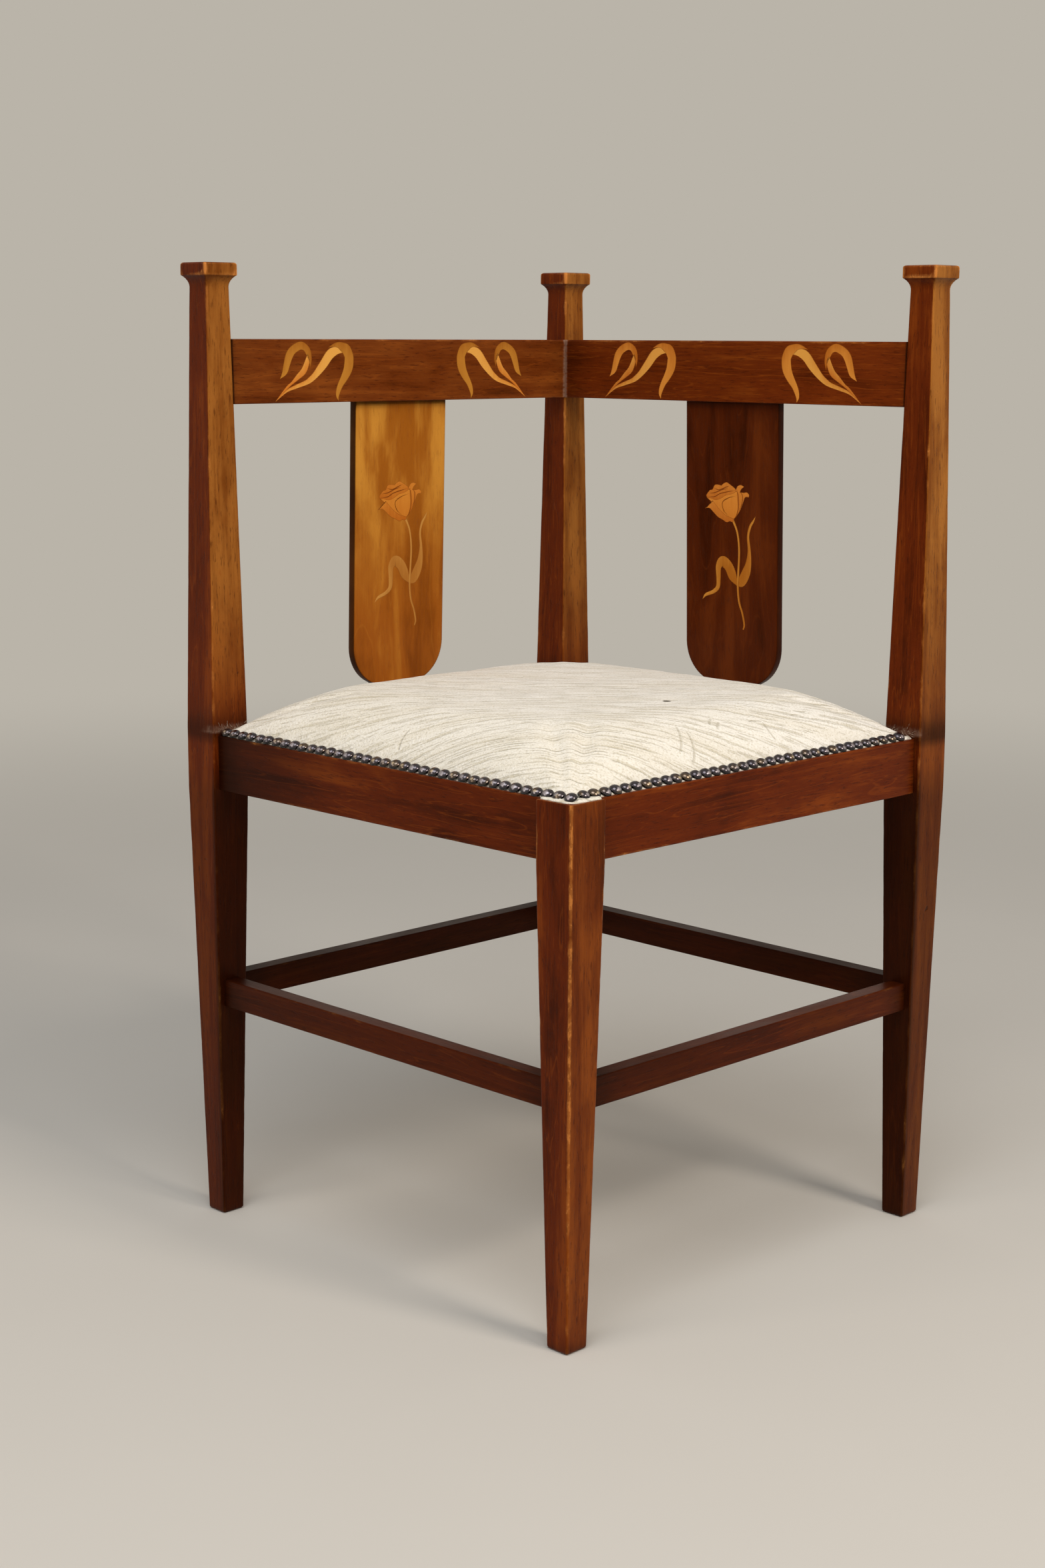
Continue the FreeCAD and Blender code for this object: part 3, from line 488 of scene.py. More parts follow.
def arris_wear(along, corner, heavy, seed):
    """How worn an arris is at a place along it, from 0 to 1."""
    slow = noise.noise(Vector((along / 70.0, 3.1 * corner + seed, 0.7)))
    quick = noise.noise(Vector((along / 14.0, 5.3 * corner - seed, 4.2)))
    return min(max(heavy + 0.35 * slow + 0.45 * quick, 0.0), 1.0)


def chip(along, corner, seed):
    """The share of its wear that an arris has lost in chips, which changes quickly along it."""
    return 0.55 + 0.45 * noise.noise(Vector((along / 5.0, 7.7 * corner, seed)))


def leg_half(z):
    """Half the side of a leg's square section at a height."""
    if z <= SEAT_RAIL_LOW:
        return mixed(FOOT_SIZE, LEG_SIZE, z / SEAT_RAIL_LOW) / 2
    if z <= POST_SHOULDER:
        return LEG_SIZE / 2
    return mixed(LEG_SIZE, POST_NECK_SIZE, (z - POST_SHOULDER) / (CAVETTO_BOTTOM - POST_SHOULDER)) / 2


def levels(low, high, step):
    """Even values from one number to another, about a step apart."""
    count = max(round(abs(high - low) / step), 1)
    return [mixed(low, high, k / count) for k in range(count + 1)]


def foot_profile():
    """Height and inset up the rounded edge of a foot."""
    turn = [math.radians(90) * k / 4 for k in range(4)]
    return [(FOOT_ROUND * (1 - math.cos(t)), FOOT_ROUND * (1 - math.sin(t))) for t in turn]


def cap_profile():
    """Height and half size from the post's neck up the hollow and round the cap."""
    neck, half = POST_NECK_SIZE / 2, CAP_SIZE / 2
    radius = ((half - neck) ** 2 + CAVETTO_HEIGHT**2) / (2 * (half - neck))
    sweep = math.asin(CAVETTO_HEIGHT / radius)
    hollow = [sweep * k / 8 for k in range(8)]
    profile = [(CAVETTO_BOTTOM + radius * math.sin(t), neck + radius * (1 - math.cos(t))) for t in hollow]
    profile += [(CAP_BOTTOM - 0.3, half - 0.35), (CAP_BOTTOM + 0.1, half - 0.08)]
    profile += [(CAP_BOTTOM + 0.6, half), (CHAIR_TOP - 5.0, half)]
    turn = [math.radians(90) * k / 5 for k in range(6)]
    profile += [(CHAIR_TOP - CAP_ROUND * (1 - math.sin(t)), half - CAP_ROUND * (1 - math.cos(t))) for t in turn]
    profile += [(CHAIR_TOP, half - CAP_ROUND - 3.0)]
    return profile


def leg_profile(is_post):
    """Height and half size up a leg or post, and whether an end's rubbed edge is there."""
    step = 4.0 if is_post else 2.5
    profile = [(rise, leg_half(rise) - inset, rise < 1.5) for rise, inset in foot_profile()]
    heights = levels(FOOT_ROUND, SEAT_RAIL_LOW, step)
    heights += levels(SEAT_RAIL_LOW, CAVETTO_BOTTOM if is_post else SEAT_TOP, step)[1:]
    profile += [(z, leg_half(z), False) for z in heights]
    if is_post:
        return profile + [(z, half, z > CHAIR_TOP - CAP_ROUND) for z, half in cap_profile()[1:]]
    profile[-1] = (SEAT_TOP - 0.6, LEG_SIZE / 2, False)
    return profile + [(SEAT_TOP - 0.15, LEG_SIZE / 2 - 0.2, True), (SEAT_TOP, LEG_SIZE / 2 - 0.7, True)]


def leg(corner, wear, faded, painted_shade=(0.0, 0.0)):
    """A leg or post, with its arrises rubbed by wear at each of its four corners.

    faded is how much light is painted on its side towards the window light, at the floor and at
    the top, and painted_shade how much shade is painted below the seat on its front left and its front
    right face.
    """
    is_post = corner != "front"
    side_p, side_q = CORNERS[corner]
    seed = 2.0 + 3.0 * list(CORNERS).index(corner)
    made = Solid()
    rings = []
    for z, half, is_edge in leg_profile(is_post):
        handled = 0.45 * (z > CAP_BOTTOM) if is_post else 0.22 * smooth(150.0, 390.0, z)
        worn = [arris_wear(z, k, wear[k] + handled, seed) for k in range(4)]
        radii = [ARRIS + WORN_ARRIS * worn[k] * chip(z, k, seed) for k in range(4)]
        # Painted light on the side towards the window, which grows from the share at the floor to the share at the
        # top
        lit_paint = mixed(*faded, smooth(380.0, 560.0, z))
        below_seat = 1 - smooth(SEAT_RAIL_LOW - 10, SEAT_TOP, z)
        above_seat = smooth(SEAT_TOP - 1, SEAT_TOP + 2, z) * (1 - smooth(SEAT_TOP + 3, SEAT_TOP + 16, z))
        cap_edge = 0.5 * (1 - smooth(0.6, 2.0, z - CAP_BOTTOM))
        ring = []
        for a, b, near, k in rounded_section(half, half, radii):
            rubbed_and_highlight = worn[k] * near
            if is_edge:
                rubbed_and_highlight = max(rubbed_and_highlight, 0.35 + 0.4 * rough(a, b, z, 9.0, seed))
            if is_post and z > CAP_BOTTOM - 0.5:
                rubbed_and_highlight = max(rubbed_and_highlight, max(0.85 * near, cap_edge) * (1 + 1.2 * rough(a, b, z, 7.0, seed)))
            # Painted shade below the seat on the front left and the front right face
            dark = max(painted_shade[0] * smooth(0.5, 0.95, -a / half), painted_shade[1] * smooth(0.5, 0.95, -b / half))
            dirt_and_shade = max(leg_darkening(z), dark * below_seat, seat_joint_darkening(z, corner))
            by_cloth = is_post and max(-side_p * a, -side_q * b) > 0.7 * half
            place = (side_p * HALF + a, side_q * HALF + b, z)
            grain = (z + 190 * seed, a, b)
            ring.append(made.point(place, grain, rubbed_and_highlight, dirt_and_shade, lit_paint, 0.55 * above_seat * by_cloth))
        rings.append(ring)
    made.skin(rings)
    node = corner + ("_post" if is_post else "_leg")
    return made.make(node + "_wood", MAHOGANY, "dark_wood", node)


def leg_darkening(z):
    """Darker by the floor and in the hollow under the cap."""
    return max(0.5 * (1 - smooth(0, 14, z)), 0.45 * smooth(CAVETTO_BOTTOM - 2, CAP_BOTTOM, z) * (z < CAP_BOTTOM))


def seat_joint_darkening(z, corner):
    """Darker on a post just below and above the seat."""
    if corner == "front":
        return 0.0
    near = 0.3 * (1 - smooth(SEAT_TOP + 3, SEAT_TOP + 22, z))
    wide = 0.35 * (1 - smooth(SEAT_TOP + 8, SEAT_TOP + 45, z))
    return smooth(SEAT_TOP - 12, SEAT_TOP, z) * (wide + near)


def bar(side, faces, name, wear, material=MAHOGANY, mitred=0, faded=0.0, painted_shade=(0.0, 0.0)):
    """A rail or stretcher between two legs, whose ends run a little way into them.

    faces says where its low, high, inner and outer face are. wear is for its arrises: inner low, inner
    high, outer high and outer low. mitred is -1 or 1 where that end is mitred. faded is how much
    light is painted on its side towards the window light, and painted_shade how much shade is painted at
    its first end and beyond.
    """
    low, high, inner, outer = faces
    depth = 0.6
    quarters = SIDES[side]
    half_y, half_z = (outer - inner) / 2, (high - low) / 2
    middle_y, middle_z = -(outer + inner) / 2, (high + low) / 2
    seed = 11.0 + 5.0 * quarters + low / 100.0
    fine = [0.0, 0.004, 0.012, 0.03]
    made = Solid()
    rings = []
    for share in fine + levels(0.05, 0.95, 0.02) + [1 - share for share in reversed(fine)]:
        along = mixed(-HALF, HALF, share)
        worn = [arris_wear(along, k, wear[k], seed) for k in range(4)]
        radii = [ARRIS * 0.9 + WORN_ARRIS * 0.7 * worn[k] * chip(along, k, seed) for k in range(4)]
        ring = []
        for a, b, near, k in rounded_section(half_y, half_z, radii):
            y, z = middle_y + a, middle_z + b
            reach = HALF - leg_half(z) + depth
            mitre = min(reach, -y - 0.05)
            start = -mitre if mitred < 0 else -reach
            end = mitre if mitred > 0 else reach
            x = mixed(start, end, share)
            from_end = min(x - start, end - x)
            # Painted shade along the bar from its first end on; then a dark joint line where it enters a leg, and
            # painted shade that fades over 40 mm beside the leg
            dirt_and_shade = mixed(*painted_shade, smooth(0.05, 0.5, share))
            dirt_and_shade += 0.9 * (1 - smooth(0.6, 1.8, from_end)) + 0.25 * (1 - smooth(1.0, 40.0, from_end))
            glue = 0.0
            if mitred * x > 0 and a > 0:
                glue = (1 - smooth(0.5, 4.0, from_end)) * (0.75 + 0.6 * rough(x, y, z, 9.0, 4.0))
                dirt_and_shade *= 1 - glue
            place = (*quarter_turned(x, y, quarters), z)
            grain = (x + 500 * quarters, b + low, a)
            ring.append(made.point(place, grain, worn[k] * near, min(dirt_and_shade, 1.0), faded, glue))
        rings.append(ring)
    made.skin(rings)
    return made.make(name + "_wood", material, "dark_wood", name)


# Corner order round a leg is (+p -q), (+p +q), (-p +q), (-p -q). The last one faces the camera.
# After the wear comes the painted light at the floor and at the top, and last the shade painted below the seat on
# the front left and front right face
leg("front", (0.15, 0.1, 0.15, 0.5), (0.15, 0.4))
leg("left", (0.2, 0.1, 0.15, 0.33), (0.0, 0.8), painted_shade=(0.4, 0.75))
leg("right", (0.2, 0.15, 0.15, 0.36), (0.2, 1.0), painted_shade=(0.8, 0.45))
leg("back", (0.15, 0.1, 0.15, 0.3), (0.0, 0.85), painted_shade=(0.4, 0.4))

SEAT_RAIL = (SEAT_RAIL_LOW, SEAT_TOP, SEAT_RAIL_INNER, SEAT_RAIL_OUTER)
STRETCHER = (STRETCHER_LOW, STRETCHER_HIGH, STRETCHER_INNER, STRETCHER_OUTER)
TOP_RAIL = (TOP_RAIL_LOW, TOP_RAIL_HIGH, TOP_RAIL_INNER, TOP_RAIL_OUTER)
for side in SIDES:
    # shaded is the painted shade of each bar: along the stretchers under the seat, and at the left end of the front
    # left seat rail
    shaded = (0.7 if side == "front_left" else 0.1, 0.1)
    bar(side, SEAT_RAIL, side + "_seat_rail", (0.1, 0.1, 0.3, 0.25), painted_shade=shaded)
    shaded = (0.75, 0.75) if side.startswith("back") else (0.65, 0.5)
    bar(side, STRETCHER, side + "_stretcher", (0.1, 0.15, 0.15, 0.1), painted_shade=shaded)
# The left top rail gets some painted light on its side towards the window light
bar("back_left", TOP_RAIL, "left_top_rail", (0.15, 0.3, 0.3, 0.15), mitred=-1, faded=0.2)
# The right top rail gets painted shade towards its far end
bar("back_right", TOP_RAIL, "right_top_rail", (0.15, 0.3, 0.3, 0.15), WARM_MAHOGANY, mitred=1, painted_shade=(0.0, 0.3))


# Back panels. A panel is drawn as seen from the front: s runs to the right from its centre line, y
# outwards from the posts' centre line, and z is the real height.


def on_panel(side, s, y, z):
    if side == "left":
        return (s - SPLAT_OFFSET, y + HALF, z)
    return (y + HALF, -s - SPLAT_OFFSET, z)


def leaning(s, y, z):
    """Tip a point of the splat inwards about its foot."""
    dy, dz = y + SPLAT_INSET, z - SEAT_TOP
    return (
        s,
        -SPLAT_INSET + dy * math.cos(SPLAT_LEAN) - dz * math.sin(SPLAT_LEAN),
        SEAT_TOP + dy * math.sin(SPLAT_LEAN) + dz * math.cos(SPLAT_LEAN),
    )


def arc_through(start, middle, end, count):
    """Points along the circle through three points, without the last."""
    a, b, c = (complex(*point) for point in (start, middle, end))
    skew = (c - a) / (b - a)
    centre = a - (a - b) * (skew - abs(skew) ** 2) / (2j * skew.imag)
    first = cmath.phase(a - centre)
    sweep = math.remainder(cmath.phase(c - centre) - first, 2 * math.pi)
    points = [centre + cmath.rect(abs(a - centre), first + sweep * k / count) for k in range(count)]
    return [(point.real, point.imag) for point in points]


def splat_outline():
    """The splat's outline from its top right corner, clockwise as seen from the front."""
    half = SPLAT_WIDTH / 2
    top = TOP_RAIL_LOW + 4.0
    right = [(half, z) for z in levels(top, SEAT_TOP + 55.0, 6.0)[:-1]]
    right += arc_through((half, SEAT_TOP + 55.0), (45.0, SEAT_TOP + 36.4), (32.0, SEAT_TOP + 25.0), 10)
    right += arc_through((32.0, SEAT_TOP + 25.0), (25.0, SEAT_TOP + 19.7), (SPLAT_NECK, SEAT_TOP + 11.0), 6)
    right += [(SPLAT_NECK, SEAT_TOP + 11.0), (SPLAT_NECK, SEAT_TOP - 0.5)]
    return right + [(-s, z) for s, z in reversed(right)]


def inset_outline(outline, distance):
    """An outline drawn in along the normals of its corners."""
    moved = []
    for k, (s, z) in enumerate(outline):
        before, after = outline[k - 1], outline[(k + 1) % len(outline)]
        one = Vector((s - before[0], z - before[1])).normalized()
        two = Vector((after[0] - s, after[1] - z)).normalized()
        normal = Vector((one.y + two.y, -one.x - two.x))
        normal *= 1 / max(normal.length_squared / 2, 0.5)
        moved.append((s + normal.x * distance, z + normal.y * distance))
    return moved


def splat(side, material, stained):
    """A splat, whose edges are stained dark by so much."""
    made = Solid()
    thick = SPLAT_THICKNESS
    rings = []
    # Inset from the outline, depth behind the front face, and how much of the stain is there
    for inset, depth, stain in (
        (4.0, 0.0, 0.0), (1.2, 0.0, 0.1), (0.5, 0.08, 0.3), (0.15, 0.25, 0.6), (0.0, 0.8, 0.95),
        (0.0, thick - 0.8, 0.95), (0.15, thick - 0.25, 0.6), (0.5, thick - 0.08, 0.4),
        (1.2, thick, 0.3), (4.0, thick, 0.3),
    ):
        ring = []
        for s, z in inset_outline(splat_outline(), inset):
            # Painted shadow in a band just under the top rail, then the stain along the edges
            dirt_and_shade = 0.8 * smooth(TOP_RAIL_LOW - 6, TOP_RAIL_LOW, z)
            dirt_and_shade += stained * stain * (0.9 + 0.2 * rough(s, 0, z, 18.0, 3.0))
            place = on_panel(side, *leaning(s, depth - SPLAT_INSET, z))
            grain = (z, s + (120 if side == "left" else 300), depth)
            # Painted light that grows higher up, which shows on a splat whose finish has lit_tones
            ring.append(made.point(place, grain, 0.0, min(dirt_and_shade, 1.0), smooth(470, 640, z)))
        rings.append(ring)
    made.skin(rings, strips=True)
    return made.make(side + "_splat_wood", material, "splat_wood", side + "_splat")


splat("left", SPLAT_GOLD, 1.0)
splat("right", SPLAT_RED, 0.6)


# Inlays. Every outline and ribbon is drawn on the panel as (s, z), with s to the right.

PROUD = 0.05
LAYER = 0.005
VENEER_DEPTH = 0.35


def through(points, count):
    """A smooth curve through points of any number of values, count steps to each span."""
    points = [Vector(point) for point in points]
    ends = [2 * points[0] - points[1], *points, 2 * points[-1] - points[-2]]
    curve = []
    for a, b, c, d in zip(ends, ends[1:], ends[2:], ends[3:]):
        bend, twist = 2 * a - 5 * b + 4 * c - d, 3 * b - a - 3 * c + d
        for t in (step / count for step in range(count)):
            curve.append(0.5 * (2 * b + (c - a) * t + bend * t**2 + twist * t**3))
    return curve + [points[-1]]


class Veneers(Solid):
    """Thin pieces let into one face. Each one lies a little lower than the last, so the first is on top."""

    def __init__(self, place, seed):
        super().__init__()
        self.place = place
        self.proud = PROUD
        self.seed = seed

    def corner(self, cell, depth):
        """A point of a piece. Its cell is (s, z, shade, how scorched)."""
        s, z, shade, rim = cell
        grain = (z + 3 * self.seed, s - 7 * self.seed, 0.0)
        return self.point(self.place(s, depth, z), grain, shade, rim)

    def close(self, rings):
        self.skin([[self.corner(cell, depth) for cell, depth in ring] for ring in rings])
        self.proud -= LAYER
        self.seed += 1.0

    def ribbon(self, stations, pale=(0.2, 0.8), mirror=1, dark=0.0):
        """A ribbon through (s, z, width) stations that shades from one tone to another along its length."""
        line = through(stations, 8)
        rings = []
        for k, here in enumerate(line):
            ahead = line[min(k + 1, len(line) - 1)] - line[max(k - 1, 0)]
            side = Vector((-ahead.y, ahead.x)).normalized()
            width = max(here.z, 0.12)
            inside = min(0.7 / max(width, 0.2), 0.4)
            shade = mixed(*pale, k / (len(line) - 1))
            row = []
            # Across the ribbon: both edges, a line just inside each, and the middle
            for share, rim in ((0.0, 1.0), (inside, 0.25), (0.5, 0.0), (1 - inside, 0.1), (1.0, 0.7)):
                spot = here.xy + side * width * (0.5 - share)
                row.append((mirror * spot.x, spot.y, shade + 0.22 * (share - 0.5), max(rim, dark)))
            front = [(cell, -self.proud) for cell in row]
            rings.append(front + [(row[-1], VENEER_DEPTH), (row[0], VENEER_DEPTH)])
        self.close(rings)

    def crease(self, *spots):
        """A hair-thin dark line, as the sand leaves where two pieces fold over each other."""
        widths = [0.0, *[0.75] * (len(spots) - 2), 0.0]
        self.ribbon([(*spot, width) for spot, width in zip(spots, widths)], (0.0, 0.0), dark=1.0)

    def patch(self, shade, *curves):
        """A closed outline of curves, each of them smooth, that meet at corners."""
        outline = []
        for curve, after in zip(curves, curves[1:] + curves[:1]):
            outline += [tuple(point) for point in through([*curve, after[0]], 5)[:-1]]
        if sum(a[0] * b[1] - b[0] * a[1] for a, b in zip(outline, outline[1:] + outline[:1])) > 0:
            outline.reverse()
        low, high = min(z for _, z in outline), max(z for _, z in outline)
        edge, inner = (
            [(s, z, shade + 0.35 * ((z - low) / (high - low) - 0.5), rim) for s, z in inset_outline(outline, inset)]
            for inset, rim in ((0.0, 1.0), (0.5, 0.3))
        )
        order = ((inner, -self.proud), (edge, -self.proud), (edge, VENEER_DEPTH), (inner, VENEER_DEPTH))
        self.close([[(cell, depth) for cell in row] for row, depth in order])


def in_rail(side):
    return lambda s, y, z: on_panel(side, s, y - TOP_RAIL_INSET, z)


def in_splat(side, shift):
    return lambda s, y, z: on_panel(side, *leaning(s + shift, y - SPLAT_INSET, z + SEAT_TOP))


SMALL_HOOK = (
    (-136.5, 689.4, 0), (-131.7, 694.8, 5.2), (-129.4, 701, 6.6), (-126.7, 708, 7.6), (-122.5, 712.7, 7.1),
    (-115.2, 715.9, 6.7), (-109.8, 714.4, 5.9), (-106.7, 710.5, 5.9), (-104.6, 704, 3.0), (-105, 698, 0),
)
SMALL_TAIL = (
    (-107.5, 709.5, 0), (-107.4, 705.1, 4.1), (-108.9, 700.5, 5.3), (-112, 695.3, 5.6), (-117.5, 691, 4.5),
    (-124, 686, 2.4), (-129.6, 682.1, 2.2), (-141.4, 671.5, 0),
)
LARGE_TAIL = (
    (-141.4, 671.5, 0), (-130, 679.5, 1.9), (-120, 683.1, 3.1), (-110, 686.1, 3.9), (-105, 688.5, 4.9),
    (-100, 692, 5.6), (-95, 696.7, 7), (-90, 701.9, 8), (-85, 707.7, 8.4), (-80.8, 710.6, 8),
    (-76.2, 711.6, 6), (-70.2, 710.3, 0),
)
LARGE_HOOK = (
    (-85.5, 714.3, 0), (-80, 716.2, 2.5), (-75, 716.5, 4.9), (-69.9, 714.6, 8), (-66, 712.4, 9.5),
    (-63.4, 707.5, 9.5), (-63.2, 704, 9.8), (-63.8, 699.4, 9.8), (-65.5, 694.8, 8.8), (-68.9, 689.4, 7.2),
    (-72.3, 684.8, 5.8), (-74.8, 680, 4.9), (-76, 675.3, 3.2), (-75.2, 671.3, 0),
)

LOW_PETAL = (
    ((-29.6, 171.8), (-25.5, 174.9), (-21, 178.6)),
    ((-20.4, 178.6), (-13, 171.8), (-6, 167.2), (2.5, 164.6)),
    ((3.2, 163.0), (1.6, 161.6)),
    ((-1.5, 162.2), (-5, 161.1), (-9.5, 163.0), (-15, 165.2), (-20, 169.0), (-24.5, 172.2)),
)
BOWL = (
    ((-27.5, 181.0), (-22.4, 177.8), (-15.1, 171.4), (-7.7, 165.8), (-1.6, 163.6)),
    ((3.2, 164.4), (6.9, 168.6), (7.6, 176.0), (6.8, 183.0)),
    ((7.0, 188.8), (1.0, 185.8), (-6.0, 184.2), (-12.0, 181.2), (-17.5, 179.8), (-23.0, 180.9)),
)
RIGHT_PETAL = (
    ((5, 189.0), (7, 192.4), (10.5, 193.6)),
    ((14.3, 192.3), (11, 189.8)),
    ((9.8, 187.3), (13.5, 187.2), (17.5, 187.6), (19.8, 185.6)),
    ((19.6, 183.6), (15.4, 183.2), (13, 178.0), (9.2, 170.8), (4.4, 165.2)),
    ((2.6, 164.2), (3.4, 177.0)),
)
TOP_PETAL = (
    ((-27.4, 181.2), (-28, 183.6)),
    ((-24, 187.9), (-21, 188.6), (-19, 192.0), (-16, 192.9)),
    ((-11, 192.3), (-8.5, 194.2), (-5, 195.2), (-1.5, 193.6), (4.4, 190.2)),
    ((6.6, 186.6), (-8, 179.4), (-20, 178.6)),
)
CREASES = (
    ((-26.6, 181.8), (-18.7, 182.4), (-12.6, 185.2), (-4.1, 187.2), (4.0, 188.6)),
    ((-25.6, 185.0), (-18.7, 185.8), (-10.2, 188.7), (-4.1, 190.0)),
    ((-19.5, 189.9), (-13.8, 188.4), (-6.5, 190.8), (-2.0, 192.4)),
    ((4.5, 189.4), (7.4, 185.6), (8.2, 176.0), (6.0, 167.6), (3.0, 164.4)),
    ((9.6, 188.0), (12.4, 184.4), (11.8, 177.4), (8.8, 171.6)),
    ((5.6, 184.2), (-3.6, 181.8), (-9.8, 177.8), (-8.4, 171.2), (-2.4, 166.0)),
    ((-25.0, 178.8), (-20.0, 175.6), (-13.0, 169.6), (-6.0, 164.9), (0.0, 163.6)),
)
STEM = (
    (1.6, 164.0, 2.4), (6.9, 153.2, 2.0), (9.1, 138.0, 2.1), (8.3, 119.0, 2.2), (7.8, 107.0, 2.2),
    (9.2, 94.0, 2.1), (13, 84.0, 2.0), (15.2, 74.5, 1.9), (14.0, 70.0, 1.2),
)
LEAVES = (
    (
        (7.6, 107.0, 0), (11.6, 110.6, 8.4), (16.6, 118.8, 9.2), (19.5, 127.5, 6.2), (20.2, 138.0, 3.4),
        (18.9, 150.0, 2.5), (21, 158.5, 2.5), (24.2, 163.2, 2.0), (27, 167.6, 0),
    ),
    (
        (8, 106.6, 0), (2.2, 114.8, 8.8), (-2.8, 123.4, 9.6), (-9.4, 127.2, 9.4), (-13.9, 122.6, 6.4),
        (-14, 112.5, 4.8), (-14.8, 104.8, 4.2), (-20, 100.3, 3.4), (-28.4, 97.0, 2.6), (-32.2, 93.0, 0),
    ),
)

# Pale, golden and scorched colour of each veneer, and where its pattern starts
INLAYS = {name: inlay(name, *tones) for name, tones in {
    "left_hooks": ("b97c2e", "9a5a1c", "5c2a0a", 2.0),
    "left_tails": ("e0a24c", "c9762a", "7a3c10", 8.0),
    "left_bowl": ("cc8230", "b8661e", "6b300c", 11.0),
    "left_petals": ("cc8030", "b0601c", "5e2c0c", 5.0),
    "left_leaves": ("c48c44", "a86c2c", "6e340e", 6.0),
    "right_hooks": ("d98c38", "b4641e", "6a300c", 3.0),
    "right_tails": ("e2a048", "c47028", "8a4814", 9.0),
    "right_bowl": ("da8a36", "c06c22", "74380f", 12.0),
    "right_petals": ("da8a38", "b86622", "6c3210", 7.0),
    "right_leaves": ("cf8c38", "ac661e", "6e380f", 10.0),
}.items()}


def scrolls(side):
    """The inlays of a top rail, whose right half mirrors the left."""
    hooks, tails = (Veneers(in_rail(side), seed) for seed in (20.0, 40.0))
    for mirror in (1, -1):
        hooks.ribbon(LARGE_HOOK, (0.3, 0.85), mirror)
        hooks.ribbon(SMALL_HOOK, (0.75, 0.2), mirror)
        tails.ribbon(LARGE_TAIL, (0.35, 0.95), mirror)
        tails.ribbon(SMALL_TAIL, (0.55, 0.1), mirror)
    hooks.make(side + "_hooks", INLAYS[side + "_hooks"], "golden_veneer", side + "_rail_scroll_hooks")
    tails.make(side + "_tails", INLAYS[side + "_tails"], "pale_veneer", side + "_rail_scroll_tails")


def tulip(side, shift):
    """The inlays of a splat. The pieces that meet lie at levels of their own."""
    bowl, petals, stem, leaves = (Veneers(in_splat(side, shift), seed) for seed in (60.0, 80.0, 100.0, 120.0))
    bowl.proud -= LAYER
    stem.proud -= 4 * LAYER
    leaves.proud -= 5 * LAYER
    petals.patch(0.4, *LOW_PETAL)
    petals.proud -= LAYER
    petals.patch(0.45, *RIGHT_PETAL)
    petals.patch(0.4, *TOP_PETAL)
    petals.proud = PROUD + 4 * LAYER
    for crease in CREASES:
        petals.crease(*crease)
    bowl.patch(0.6, *BOWL)
    stem.ribbon(STEM, (0.6, 0.3))
    for leaf in LEAVES:
        leaves.ribbon(leaf, (0.1, 0.7))
    bowl.make(side + "_bowl", INLAYS[side + "_bowl"], "pale_veneer", side + "_tulip_bowl")
    petals.make(side + "_petals", INLAYS[side + "_petals"], "golden_veneer", side + "_tulip_petals")
    stem.make(side + "_stem", INLAYS[side + "_leaves"], "pale_veneer", side + "_tulip_stem")
    leaves.make(side + "_leaves", INLAYS[side + "_leaves"], "golden_veneer", side + "_tulip_leaves")


for side, shift in (("left", 4.0), ("right", 0.0)):
    scrolls(side)
    tulip(side, shift)


# Seat

LEFT_NAILS = [(-208.0, LEFT_FIRST_NAIL + NAIL_PITCH * k) for k in range(36)]
RIGHT_NAILS = [(RIGHT_FIRST_NAIL + NAIL_PITCH * k, -207.0) for k in range(35)]
CORNER_NAIL = (-208.3, -208.3)
PAD_BACK = 198.4
PAD_BOTTOM = SEAT_TOP + 2.95
PAD_RIM = COVER_TOP + 0.05


def crown_height(p, q):
    """How high the seat is crowned above the rails' cover."""
    middle = (CROWN_LOW + CROWN_HIGH) / 2
    half = (CROWN_HIGH - CROWN_LOW) / 2
    a, b = abs(p - middle) / half, abs(q - middle) / half
    plan = max(1 - a**CROWN_PLAN_POWER, 0.0) * max(1 - b**CROWN_PLAN_POWER, 0.0)
    return CROWN_HEIGHT * plan ** (1 / CROWN_RISE_POWER) * tucked(p, q)


def from_post(p, q):
    """The distance to the nearest of the three posts' faces."""
    reach = LEG_SIZE / 2
    posts = ((HALF, -HALF), (-HALF, HALF), (HALF, HALF))
    return min(math.hypot(max(abs(p - a) - reach, 0.0), max(abs(q - b) - reach, 0.0)) for a, b in posts)


def tucked(p, q):
    """The share of its height that the seat keeps beside a post."""
    return mixed(0.55, 1.0, smooth(0.0, 10.0, from_post(p, q)))


def pad_levels(p, q):
    """The pad's underside and top at a point, before the cloth is blown out to its full height."""
    from_front = min(p, q) - CROWN_LOW
    from_back = PAD_BACK - max(p, q)
    inside = min(min(from_front, from_back) / 1.4, 1.0)
    low = mixed(PAD_RIM, PAD_BOTTOM, inside)
    apron = 2.6 * min(from_front / 3.0, 1.0) * min(from_back / 1.4, 1.0)
    crown = crown_height(p, q)
    return low, PAD_RIM + 0.25 + max(crown - CLOTH_RISE * (crown / CROWN_HEIGHT) ** 2, apron)


